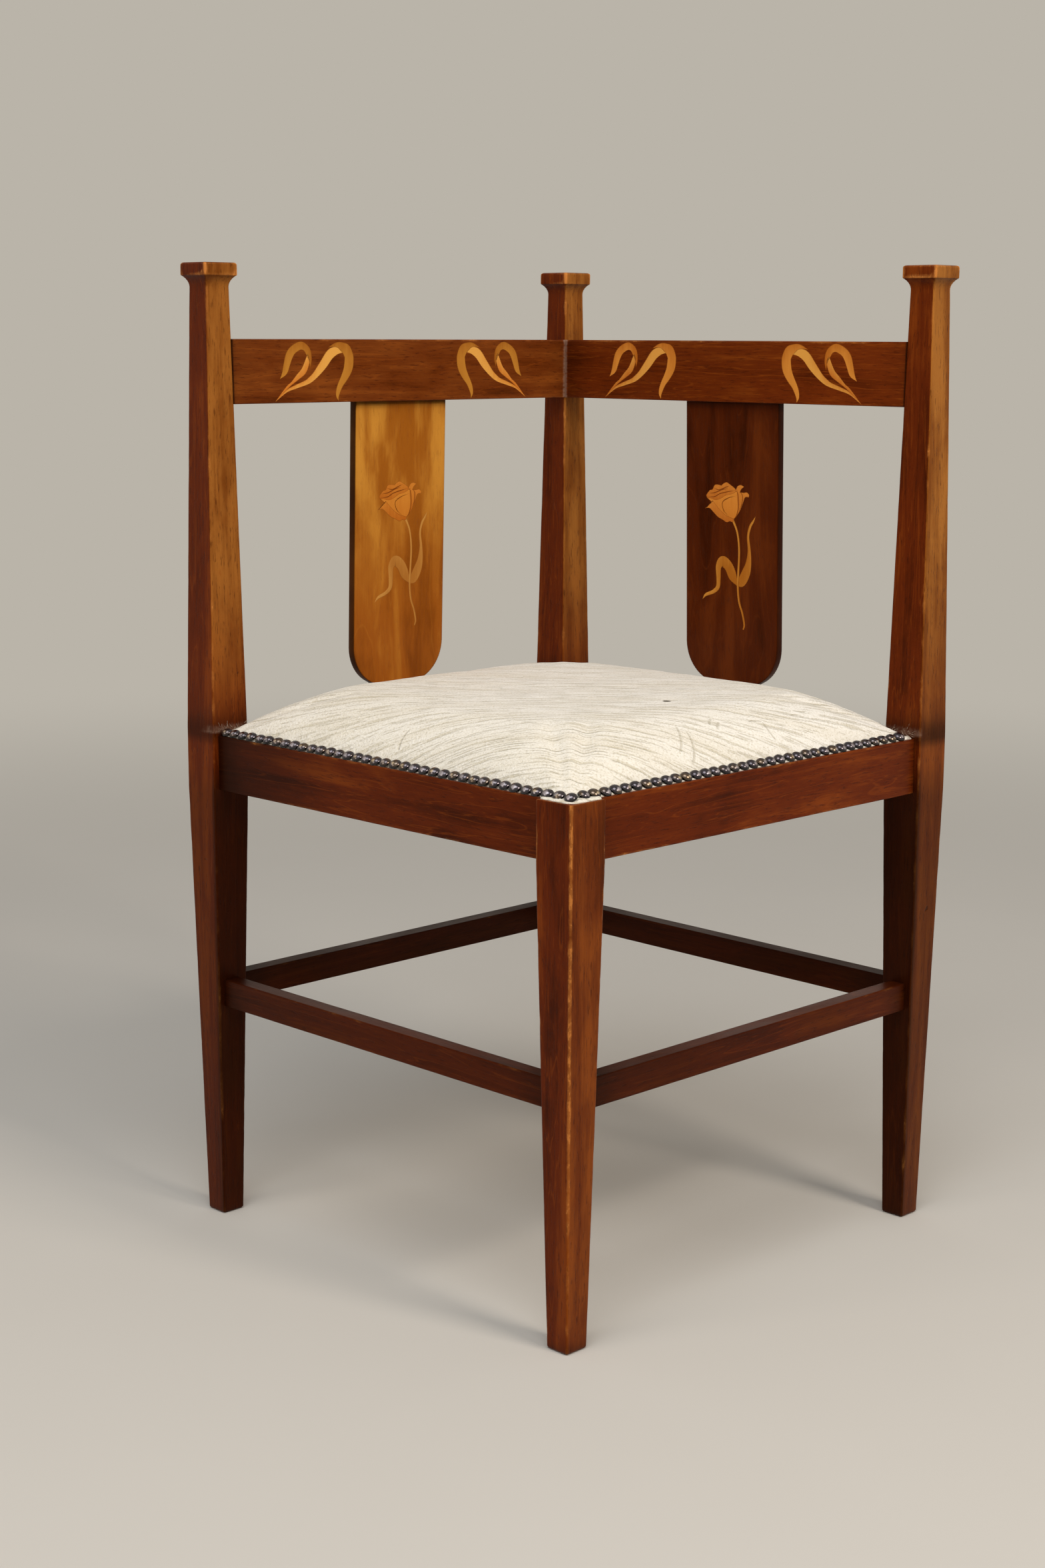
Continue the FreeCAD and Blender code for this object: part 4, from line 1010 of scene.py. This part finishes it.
def boxed(lines, is_cut, levels_at):
    """A closed box over the cells of a grid, apart from those that are cut: its points, faces and rim.

    is_cut is asked for a cell's middle, and levels_at gives the underside and top at a point. The points
    of the top follow those of the underside, whose numbers the rim is given in.
    """
    count = len(lines) - 1
    middles = [(a + b) / 2 for a, b in zip(lines, lines[1:])]
    cells = {(i, j) for i in range(count) for j in range(count) if not is_cut(middles[i], middles[j])}
    corners = sorted({(i + a, j + b) for i, j in cells for a in (0, 1) for b in (0, 1)})
    number = {corner: k for k, corner in enumerate(corners)}
    shift = len(corners)
    spots = [(lines[i], lines[j]) for i, j in corners]
    points = [(*spot, levels_at(*spot)[top]) for top in (0, 1) for spot in spots]
    faces = []
    for i, j in sorted(cells):
        loop = [number[i, j], number[i + 1, j], number[i + 1, j + 1], number[i, j + 1]]
        faces += [tuple(k + shift for k in loop), tuple(reversed(loop))]
        for a, beside in enumerate(((i, j - 1), (i + 1, j), (i, j + 1), (i - 1, j))):
            if beside not in cells:
                one, two = loop[a], loop[(a + 1) % 4]
                faces.append((one, two, two + shift, one + shift))
    rim = [number[i, j] for i, j in corners if any((i - a, j - b) not in cells for a in (0, 1) for b in (0, 1))]
    return points, faces, rim


def in_post_notch(p, q):
    return abs(p) > NOTCH and abs(q) > NOTCH and (p > 0 or q > 0)


def pad_grid():
    """Points and faces of the closed pad, and which points the nails and the posts hold.

    The grid's lines are close together by the pad's edges, and two of them lie at the posts' faces.
    """
    front = [CROWN_LOW, -202.6, -200.8, -198.4, -195.4, -191.8, -187.4]
    back = [186.0, 189.2, 191.8, 194.2, 197.0, PAD_BACK]
    points, faces, rim = boxed(front + levels(-NOTCH, NOTCH, 4.3) + back, in_post_notch, pad_levels)
    under = len(points) // 2
    return points, faces, list(range(under)) + [k + under for k in rim]


def inflated(mesh, held, most):
    """Blow out a mesh's free points by cloth, none of them by more than a distance."""
    made = linked("inflating", mesh)
    made.vertex_groups.new(name="held").add(held, 1.0, "REPLACE")
    cloth = made.modifiers.new("cloth", "CLOTH")
    for key, value in {
        "vertex_group_mass": "held", "use_pressure": True, "uniform_pressure_force": 10.0, "quality": 6,
        "tension_stiffness": 12.0, "compression_stiffness": 12.0, "bending_stiffness": 0.6,
    }.items():
        setattr(cloth.settings, key, value)
    cloth.settings.effector_weights.gravity = 0.0
    cloth.collision_settings.use_collision = False
    cloth.point_cache.frame_end = CLOTH_FRAMES
    for step in range(1, CLOTH_FRAMES + 1):
        bpy.context.scene.frame_set(step)
    graph = bpy.context.evaluated_depsgraph_get()
    blown = [vertex.co.copy() for vertex in made.evaluated_get(graph).data.vertices]
    bpy.context.scene.frame_set(1)
    bpy.data.objects.remove(made)
    for vertex, there in zip(mesh.vertices, blown):
        move = there - vertex.co
        if move.length > most:
            move *= most / move.length
        vertex.co += move


def baked(made):
    """The mesh that an object's modifiers make, which takes its place."""
    graph = bpy.context.evaluated_depsgraph_get()
    mesh = bpy.data.meshes.new_from_object(made.evaluated_get(graph))
    bpy.data.objects.remove(made)
    return mesh


def subdivided(mesh):
    made = linked("subdividing", mesh)
    modifier = made.modifiers.new("smooth", "SUBSURF")
    modifier.levels = 1
    modifier.render_levels = 1
    return baked(made)


def nail_pull(p, q):
    """How strongly the nearest nail of a front row holds the cloth down, from 0 midway to 1 beside it."""
    if p < q:
        phase, edge = (q - LEFT_FIRST_NAIL) / NAIL_PITCH, p - CROWN_LOW
    else:
        phase, edge = (p - RIGHT_FIRST_NAIL) / NAIL_PITCH, q - CROWN_LOW
    held = 0.5 + 0.5 * math.cos(2 * math.pi * phase)
    return held * math.exp(-max(edge, 0.0) / 4.5)


def seat_pad(material):
    """The stuffed seat, which cloth blows out and whose skin is then lumpy, creased and pulled down by nails."""
    points, faces, held = pad_grid()
    mesh = mesh_of("seat_pad", [to_world(point) for point in points], faces)
    outward(mesh)
    inflated(mesh, held, CLOTH_RISE * METRES)
    mesh = subdivided(mesh)
    back = Matrix.Rotation(-PLAN_TURN, 4, "Z")
    shade_by_posts = []
    for vertex in mesh.vertices:
        p, q, z = (back @ vertex.co) / METRES
        gap = from_post(p, q)
        # Painted shade on the cloth beside the posts
        shade_by_posts.append(1 - smooth(0.0, 9.0 + 5.0 * rough(p, q, 0.0, 12.0), gap))
        rise = smooth(PAD_BOTTOM + 0.6, PAD_BOTTOM + 5.0, z)
        lump = 0.7 * rough(p, q, 0.0, 46.0, 3.0) + 0.25 * rough(p, q, 0.0, 15.0, 8.0)
        crease = 0.9 * rough(8 * p, 8 * q, z, 20.0, 2.0) * (1 - smooth(2.0, 14.0, gap))
        pull = nail_pull(p, q) * (1.1 + 0.5 * rough(p, q, 0.0, 9.0, 5.0))
        vertex.co.z += (rise * (lump + crease) - pull * smooth(PAD_RIM, PAD_RIM + 2.5, z)) * METRES
    mesh.attributes.new("grime_and_shade", "FLOAT", "POINT").data.foreach_set("value", shade_by_posts)
    made = piece("seat_pad", mesh, material, "chenille", "seat_stuffing", "seat_cover")


def cover_edge():
    """The outer edge of the cover on the front rails and over the front leg, from the left post to the right."""
    rail, corner, radius = SEAT_RAIL_OUTER - COVER_BACK, LEG_OUTER - 2.2, 8.0
    line = [(-rail, q) for q in levels(NOTCH, -180.0, 2.1)]
    line += [(-corner, q) for q in levels(-185.5, radius - corner, 2.1)]
    for turn in (math.radians(90) * k / 8 for k in range(1, 8)):
        line.append((radius - corner - radius * math.cos(turn), radius - corner - radius * math.sin(turn)))
    return line + [(q, p) for p, q in reversed(line[:-7])]


def cover_band(material):
    """The margin of the cover that lies flat on the front rails under the nails."""
    inner = -198.0
    made = Solid()
    nails = [Vector(nail) for nail in (*LEFT_NAILS, CORNER_NAIL, *RIGHT_NAILS)]
    line = cover_edge()
    rings = []
    for p, q in line:
        start = Vector((max(p, inner), max(q, inner)))
        ragged = 1 + 0.03 * rough(p, q, 0.0, 4.0, 6.0)
        row = []
        for share in (0.0, 0.25, 0.42, 0.56, 0.68, 0.78, 0.87, 0.94, 1.0):
            spot = start.lerp(Vector((p, q)), share * ragged)
            gap = min((spot - nail).length for nail in nails)
            fold = 1.5 * smooth(3.8, 6.0, gap) * (0.7 + 0.5 * rough(spot.x, spot.y, 0.0, 3.0, 1.0))
            lip = smooth(0.84, 1.0, share)
            row.append((spot.x, spot.y, COVER_TOP - 0.5 * lip + fold * (1 - 0.8 * lip)))
        # Painted shade where the margin meets a post
        ring = [made.point(spot, grime_and_shade=1 - smooth(2.0, 9.0, from_post(*spot[:2]))) for spot in row]
        rings.append(ring + [made.point((*spot[:2], SEAT_TOP + 0.02)) for spot in reversed(row)])
    made.skin(rings)
    band = made.make("cover_margin", material, "chenille", "seat_cover")
    width = SEAT_RAIL_OUTER - COVER_BACK + inner
    middle = sum(math.dist(a, b) for a, b in zip(line, line[1:])) - 2 * width
    width * METRES
    middle * METRES


def frayed_threads(material):
    """Loose ends of the cover's weave where it was cut round the left and right posts."""
    steady = random.Random(31)
    made = Solid()
    near, far = NOTCH, LEG_OUTER - 4
    for k in range(70):
        along = steady.uniform(near, far) if k % 3 else steady.uniform(near - 8, near)
        gap = steady.uniform(-0.3, 2.6)
        spot = Vector((near - gap, along, PAD_RIM + steady.uniform(0.5, 5.0) * (1 + gap / 4)))
        heading = [steady.uniform(-0.9, 0.2), steady.uniform(-1.0, 1.0), steady.uniform(0.0, 0.8)]
        heading = Vector(heading).normalized()
        rings = []
        for step in range(6):
            radius = 0.14 * (1 - step / 7)
            side = heading.cross(Vector((0.3, 0.5, 0.8))).normalized()
            other = heading.cross(side)
            ring = []
            for across in (side, other, -side, -other):
                p, q, z = spot + radius * across
                ring.append(made.point((p, -q, z) if k % 2 else (-q, p, z), (z, p, q)))
            rings.append(ring)
            bend = Vector([steady.uniform(-0.5, 0.5) for _ in range(3)])
            heading = (heading + bend).normalized()
            spot = spot + heading * steady.uniform(0.6, 1.4)
        made.skin(rings)
    made.make("frayed_threads", material, "chenille", "seat_cover")


# Nails

NAIL_RIM = 0.0004


def nail_rows():
    """A node group that stands a domed head on every point, each with its own size and tilt."""
    tree = bpy.data.node_groups.new("nail_rows", "GeometryNodeTree")
    sockets = {}
    for name, kind in {
        "Points": "Geometry", "Radius": "Float", "Dome": "Float", "Lean": "Vector", "Bright": "Vector",
        "Seed": "Int", "Metal": "Material",
    }.items():
        sockets[name] = tree.interface.new_socket(name, in_out="INPUT", socket_type="NodeSocket" + kind)
    tree.interface.new_socket("Nails", in_out="OUTPUT", socket_type="NodeSocketGeometry")
    graph = Graph(tree)
    inputs = tree.nodes.new("NodeGroupInput").outputs
    given = {name: Wire(graph, inputs[name]) for name in sockets}

    def geometry(kind, sockets, **settings):
        return graph.node(kind, sockets, family="Geometry", **settings)

    def stored(shape, name, value):
        return geometry("StoreNamedAttribute", {"Geometry": shape, "Name": name, "Value": value}, data_type="FLOAT")

    ball = geometry("MeshUVSphere", {"Segments": 20, "Rings": 16, "Radius": 1.0})
    place = geometry("InputPosition", {})
    height = place.part("Z")
    dome = height.math("MAXIMUM", 0.0) * given["Dome"] + height.math("MINIMUM", 0.0) * NAIL_RIM
    spot = graph.vector(place.part("X") * given["Radius"], place.part("Y") * given["Radius"], dome)
    # How far each point of a dome lies from the place of its painted highlight
    apart = graph.node("VectorMath", {0: place, 1: given["Bright"]}, "Value", operation="DISTANCE")
    ball = stored(stored(ball, "dome", height), "from_highlight", apart)
    head = geometry("SetPosition", {"Geometry": ball, "Position": spot})
    sockets_of_tilt = {0: (-0.08, -0.08, 0.0), 1: (0.08, 0.08, 0.0), "Seed": given["Seed"]}
    tilt = graph.node("RandomValue", sockets_of_tilt, 0, "Function", data_type="FLOAT_VECTOR")
    turn = graph.node("VectorMath", {0: tilt, 1: given["Lean"]}, operation="ADD")
    size = graph.node("RandomValue", {2: 0.96, 3: 1.05, "Seed": given["Seed"]}, 1, "Function", data_type="FLOAT")
    heads = geometry(
        "InstanceOnPoints", {"Points": given["Points"], "Instance": head, "Rotation": turn, "Scale": size},
    )
    whole = geometry("RealizeInstances", {0: heads})
    coated = geometry("SetMaterial", {"Geometry": whole, "Material": given["Metal"]})
    graph.put(tree.nodes.new("NodeGroupOutput").inputs[0], coated)
    return tree, sockets


def nails(name, places, outer_side, seed, material, node):
    """A row of nails whose heads lean out over the rail's edge, where the seat pushes them."""
    steady = random.Random(seed)
    points = []
    for p, q in places:
        p, q = (value + steady.uniform(-0.35, 0.35) for value in (p, q))
        points.append(to_world((p, q, COVER_TOP + steady.uniform(1.2, 1.6))))
    carrier = linked(name + "_points", mesh_of(name + "_points", points, []))
    tree, sockets = nail_rows()
    modifier = carrier.modifiers.new("rows", "NODES")
    modifier.node_group = tree
    outer_side = to_world((*outer_side, 0.0)).normalized()
    lean = Vector((0.0, 0.0, 1.0)).cross(outer_side) * 0.4
    # The painted highlight sits high on the outer slope of each head
    bright = outer_side * 0.55 + Vector((0.1, 0.0, 0.8))
    settings = {"Radius": 0.0049, "Dome": 0.0038, "Lean": lean, "Bright": bright, "Seed": seed, "Metal": material}
    for key, value in settings.items():
        modifier[sockets[key].identifier] = value
    heads = baked(carrier)
    heads.materials.clear()
    return piece(name, heads, material, "bronzed_nail", node)


# Webbing and hessian, seen from below

STRAP_WIDTH = 50.0
STRAP_THICKNESS = 1.4
STRAPS = 4
STRAP_REACH = 196.9
STRAP_PITCH = 2 * SEAT_RAIL_INNER / STRAPS
WEB_LEVEL = SEAT_TOP + STRAP_THICKNESS / 2


def strap_middle(index):
    return (index - (STRAPS - 1) / 2) * STRAP_PITCH


def strap_height(along, index):
    """The middle of a strap's thickness where it passes over or under the straps that cross it."""
    level = 0.0
    for crossing in range(STRAPS):
        side = 1 if (crossing + index) % 2 else -1
        gap = abs(along - strap_middle(crossing))
        level += side * (1 - smooth(STRAP_WIDTH / 2 - 2, STRAP_PITCH - STRAP_WIDTH / 2 + 2, gap))
    return WEB_LEVEL + level * (STRAP_THICKNESS / 2 + 0.02)


def straps(name, quarters, material, node):
    """The straps that run one way, each with thinner edges."""
    half = STRAP_WIDTH / 2
    made = Solid()
    for index in range(STRAPS):
        rings = []
        for along in levels(-STRAP_REACH, STRAP_REACH, 3.0):
            ring = []
            for side in (-1, 1):
                for across in levels(-side * half, side * half, 5.0):
                    edge = 1 - smooth(half - 1.0, half, abs(across)) * 0.5
                    height = strap_height(along, index) + side * STRAP_THICKNESS / 2 * edge * 0.97
                    place = (*quarter_turned(along, strap_middle(index) + across, quarters), height)
                    ring.append(made.point(place, (along, across, side)))
            rings.append(ring)
        made.skin(rings)
    web = made.make(name, material, "webbing", node)


def hessian(material):
    """The cloth that keeps the stuffing off the webbing, cut round the legs."""
    reach, low, high = 193.9, SEAT_TOP + 2.2, SEAT_TOP + 2.8
    lines = [-reach, *levels(-NOTCH, NOTCH, 6.0), reach]
    made = Solid()
    points, made.faces, _ = boxed(lines, lambda p, q: min(abs(p), abs(q)) > NOTCH, lambda p, q: (low, high))
    for p, q, z in points:
        made.point((p, q, z), (p, q, 0))
    cloth = made.make("hessian_cloth", material, "hessian", "hessian")


# Finishes of the cloths and metals


def stroke(x, y, start, end, sag):
    """A thin bowed mark in the pile, from one point to another, in metres."""
    length = math.dist(start, end)
    ahead = ((end[0] - start[0]) / length, (end[1] - start[1]) / length)
    along = (x - start[0]) * ahead[0] + (y - start[1]) * ahead[1]
    bow = along * (length - along) * (4 * sag / length**2)
    beside = (y - start[1]) * ahead[0] - (x - start[0]) * ahead[1] - bow
    inside = along.between(0.0, 0.002) * along.between(length, length - 0.002)
    return beside.math("ABSOLUTE").between(0.0011, 0.0004) * inside


# Start, end and sag of each mark brushed in the pile, in metres
PILE_MARKS = (
    ((0.082, -0.184), (0.080, -0.152), -0.002), ((0.091, -0.188), (0.088, -0.155), -0.003),
    ((0.107, -0.132), (0.109, -0.120), 0.001), ((0.113, -0.134), (0.115, -0.121), 0.001),
    ((0.138, -0.105), (0.150, -0.096), 0.001), ((0.150, -0.096), (0.160, -0.112), -0.001),
    ((0.174, -0.070), (0.185, -0.063), 0.002), ((0.176, -0.058), (0.188, -0.052), -0.002),
    ((-0.128, -0.148), (-0.120, -0.130), 0.002),
)
SPECK = (0.077, -0.078, 0.0)


def chenille():
    """Cream cloth with a fine pebbled pile, brushed into broken streaks that arch over the front corner."""
    made = Finish("chenille", Roughness=0.95, Specular_IOR_Level=0.08, Sheen_Weight=0.08, Sheen_Roughness=0.5)
    place = made.place()
    x, y = place.part("X"), place.part("Y")
    wander = made.lumps(place, (7, 7), 2, 0.5, shift=2.0) - 0.5
    beside = x - 0.025
    # The streaks are the lines along which t is the same
    t = y - x * x - beside * beside * y.between(-0.15, -0.27) * 5.0 + wander * 0.01

    def drawn(across, along, start, detail, roughness):
        return made.noise(made.vector(x * across, t * along, start), detail, roughness)

    uneven = drawn(16.0, 70.0, 0.3, 2, 0.6)
    broken = drawn(22.0, 130.0, 5.0, 3, 0.65)
    faint = drawn(34.0, 240.0, 9.0, 2, 0.6)
    # band is a painted sheen, paler where the brushed pile catches the light
    band = drawn(9.0, 50.0, 4.0, 2, 0.5)
    line = (t * 740.0 + uneven * 9.0).math("SINE").between(0.45, 0.95) * broken.between(0.46, 0.56)
    thin = (t * 1500.0 + uneven * 14.0).math("SINE").between(0.3, 0.9) * faint.between(0.48, 0.58)
    yellowed = x.between(0.0, -0.22) + y.between(-0.08, -0.26)
    pebble = drawn(620.0, 560.0, 0.9, 2, 0.7)
    marks = sum(stroke(x, y, *mark) for mark in PILE_MARKS)
    from_speck = made.node("VectorMath", {0: made.vector(x, y, 0.0), 1: SPECK}, "Value", operation="DISTANCE")
    speck = (from_speck + (pebble - 0.5) * 0.002).between(0.0042, 0.0022)
    # Painted shade on the cloth beside the posts, in grey brown
    grime_and_shade = made.reads("grime_and_shade")
    post_shade = (grime_and_shade + (broken - 0.5) * 0.8 * grime_and_shade).between(0.2, 1.0)
    made.paint(
        "ece7db", ("f4f1e9", band.between(0.3, 0.62)), ("bdb499", line * 0.55), ("c2b9a0", thin * 0.5),
        ("ddd2b4", yellowed * 0.22), ("b9ae94", pebble.between(0.48, 0.3) * 0.5),
        ("fffdf8", pebble.between(0.52, 0.7) * 0.5), ("aba185", marks * 0.38),
        ("4a4030", speck * 0.95), ("84705f", post_shade * 0.6),
    )
    made.bump(pebble * 0.8 - line * 0.6 - thin * 0.5 - marks * 0.5, 0.0008)
    return made.material


def thread():
    """Greyed loose threads."""
    made = Finish("frayed_thread", Roughness=0.95, Specular_IOR_Level=0.1)
    made.paint("6a5248", ("b8a894", made.lumps(made.place(), (160, 160), 2, 0.5).between(0.4, 0.6)))
    return made.material


def bronze():
    """Antiqued nail heads, nearly black, with a highlight painted on the outer slope, also rubbed where it is
    brushed past.
    """
    made = Finish("bronzed_nails", Metallic=0.9, Coat_Weight=0.8, Coat_Roughness=0.08)
    place = made.place()
    each = made.lumps(place, (90, 90), 1, 0.4)
    spots = made.lumps(place, (900, 900), 3, 0.6)
    base = made.mix("403a42", "64523f", each.between(0.5, 0.66))
    base = made.mix(base, "141011", spots.between(0.5, 0.75) * 0.7)
    # A painted highlight: a pale spot on each head near the place that from_highlight is measured from, together
    # with rubbing
    rubbed_and_highlight = (made.reads("from_highlight") + (spots - 0.5) * 0.35 + (each - 0.5) * 0.5).between(0.42, 0.22)
    bright = made.mix("b4adb4", "d8c4a4", each.between(0.5, 0.6))
    made.paint("060404", (base, made.reads("dome").between(0.1, 0.5)), (bright, rubbed_and_highlight * 0.9))
    made.surface(Roughness=0.16 + spots * 0.14 + rubbed_and_highlight * 0.2)
    made.bump(spots, 0.00008)
    return made.material


def strap_cloth():
    """Jute webbing in a close twill, with a dark thread near each edge."""
    made = Finish("jute_webbing", Roughness=0.95, Specular_IOR_Level=0.15)
    grain = made.reads("grain", "Vector")
    along, across = grain.part("X"), grain.part("Y")
    twill = (along * 2600.0 + across * 3400.0).math("SINE")
    threads = made.lumps(grain, (120, 1400), 2, 0.5)
    edge = across.math("ABSOLUTE")
    stripe = edge.between(0.0175, 0.0182) - edge.between(0.0205, 0.0212)
    made.paint("9c8258", ("c2aa7c", threads.between(0.35, 0.65)), ("3a3028", stripe * 0.8))
    made.bump(twill * 0.4 + threads * 0.5, 0.0004)
    return made.material


def sacking():
    """Hessian in an open plain weave."""
    made = Finish("hessian_weave", Roughness=0.97, Specular_IOR_Level=0.1)
    grain = made.reads("grain", "Vector")
    warp, weft = ((grain.part(axis) * 3800.0).math("SINE") for axis in "XY")
    weave = warp * weft
    slubs = made.lumps(grain, (200, 900), 2, 0.5)
    made.paint("7d6440", ("b3976a", (weave * 0.3 + slubs).between(0.3, 0.75)))
    made.bump(weave + slubs, 0.0003)
    return made.material


def softwood():
    """Bare sawn corner blocks with growth rings and saw marks."""
    made = Finish("corner_block_wood", Roughness=0.8, Specular_IOR_Level=0.2)
    place = made.place()
    rings = made.lumps(place, (14, 14, 160), 3, 0.5, 0.4)
    saw = made.lumps(place, (60, 60, 900), 2, 0.5)
    stain = made.lumps(place, (30, 30), 3, 0.6)
    made.paint("8e6a40", ("c09a68", rings.between(0.35, 0.65)), ("5c3d22", stain.between(0.55, 0.75) * 0.6))
    made.bump(saw + rings * 0.5, 0.0003)
    return made.material


def steel(name, bright, dark, spot, least_rough):
    """Plain steel with darker tarnish and a few spots of rust."""
    made = Finish(name)
    place = made.place()
    tarnish = made.lumps(place, (500, 500), 3, 0.6)
    rust = made.lumps(place, (260, 260), 3, 0.6, shift=6.0).between(0.6, 0.72)
    made.paint(bright, (dark, tarnish.between(0.4, 0.65)), (spot, rust * 0.7))
    made.surface(Roughness=least_rough + tarnish * 0.25, Metallic=0.95 - rust * 0.6)
    made.bump(tarnish, 0.00006)
    return made.material


CHENILLE = chenille()
BRONZE = bronze()
seat_pad(CHENILLE)
cover_band(CHENILLE)
frayed_threads(thread())
nails("front_left_nail_heads", [*LEFT_NAILS, CORNER_NAIL], (-1, 0), 7, BRONZE, "front_left_nails")
nails("front_right_nail_heads", RIGHT_NAILS, (0, -1), 23, BRONZE, "front_right_nails")
WEBBING = strap_cloth()
straps("straps_one_way", 0, WEBBING, "webbing_lengthwise")
straps("straps_other_way", 1, WEBBING, "webbing_crosswise")
hessian(sacking())

for material, names in (
    (softwood(), [corner + "_corner_block" for corner in CORNERS]),
    (steel("screw_steel", "8c8780", "4c4843", "6b3a1e", 0.35), ["corner_block_screws"]),
    (steel("blued_tacks", "2a2f3a", "15171c", "5a3320", 0.3), ["webbing_tacks"]),
):
    for name in names:
        shown = frame["nodes"][name].data.materials
        shown.clear()
        shown.append(material)


# Stage


BACKGROUND = "bab4a9"
FLOOR_RADIUS = 40.0
FLOOR_FADE = (1.0, 3.2)


def seen(graph):
    """1 for rays that show a surface straight, reflected or through glass, and 0 for those that only light it."""
    shown = graph.node("LightPath", out="Is Camera Ray")
    for ray in ("Is Glossy Ray", "Is Transmission Ray"):
        shown = shown.math("MAXIMUM", graph.node("LightPath", out=ray))
    return shown


def pale_floor():
    """A plain floor, lit and shadowed near the chair, that fades into the background farther away."""
    made = Finish("pale_floor", Roughness=0.85)
    place = made.place()
    made.paint("cfccc6", ("ffffff", made.lumps(place, (3, 3), 4, 0.6) * 0.06))
    away = made.node("VectorMath", {0: place}, "Value", operation="LENGTH").between(*FLOOR_FADE)
    beyond = made.node("Emission", {"Color": BACKGROUND, "Strength": 1.0})
    whole = made.node("MixShader", {0: away * seen(made), 1: Wire(made, made.shader.outputs[0]), 2: beyond})
    made.put(made.nodes["Material Output"].inputs["Surface"], whole)
    return made.material


def floor():
    turns = [math.radians(360) * k / 64 for k in range(64)]
    points = [(FLOOR_RADIUS * math.cos(turn), FLOOR_RADIUS * math.sin(turn), 0.0) for turn in turns]
    mesh = mesh_of("floor", points, [tuple(range(64))])
    mesh.materials.append(pale_floor())
    linked("floor", mesh)


def soft_light(name, place, target, size, watts, code):
    lamp = bpy.data.lights.new(name, "AREA")
    lamp.shape = "DISK"
    lamp.size = size
    lamp.energy = watts
    lamp.color = colour(code)[:3]
    made = linked(name, lamp)
    made.location = place
    made.rotation_euler = (Vector(target) - Vector(place)).to_track_quat("-Z", "Y").to_euler()


def camera():
    """The photograph's own view, fitted to the corners of the frame."""
    place = Vector((-25.309, -1937.819, 724.586)) * METRES
    yaw, pitch, roll = -0.00514, -0.18352, 0.00423
    long_side_pixels, focal_pixels, sensor = 2352, 3624.08, 36.0
    forward = Vector((math.sin(yaw) * math.cos(pitch), math.cos(yaw) * math.cos(pitch), math.sin(pitch)))
    level = Vector((math.cos(yaw), -math.sin(yaw), 0.0))
    upright = level.cross(forward)
    right = math.cos(roll) * level + math.sin(roll) * upright
    up = math.cos(roll) * upright - math.sin(roll) * level
    data = bpy.data.cameras.new("camera")
    data.sensor_width = sensor
    data.lens = sensor * focal_pixels / long_side_pixels
    data.clip_end = 50.0
    made = linked("camera", data)
    made.matrix_world = Matrix.Translation(place) @ Matrix((right, up, -forward)).transposed().to_4x4()
    bpy.context.scene.camera = made


def world(code, strength):
    """Soft light from all round, which is seen as the plain background."""
    made = bpy.data.worlds.new("soft_studio")
    made.use_nodes = True
    graph = Graph(made.node_tree)
    light = graph.node("Background", {"Color": code, "Strength": strength})
    background = graph.node("Background", {"Color": BACKGROUND, "Strength": 1.0})
    whole = graph.node("MixShader", {0: seen(graph), 1: light, 2: background})
    graph.put(graph.nodes["World Output"].inputs["Surface"], whole)
    bpy.context.scene.world = made


floor()
camera()
world("f4f1ec", 0.3)
soft_light("window", (2.2, -2.1, 2.4), (0.0, 0.0, 0.5), 1.1, 66.0, "fff2e2")
soft_light("overhead", (-0.3, -1.5, 3.0), (0.0, 0.0, 0.4), 1.8, 38.0, "ffffff")
soft_light("fill", (-2.6, -2.0, 1.7), (0.0, 0.0, 0.5), 1.6, 20.0, "fff6ea")
bpy.context.scene.view_settings.view_transform = "Standard"
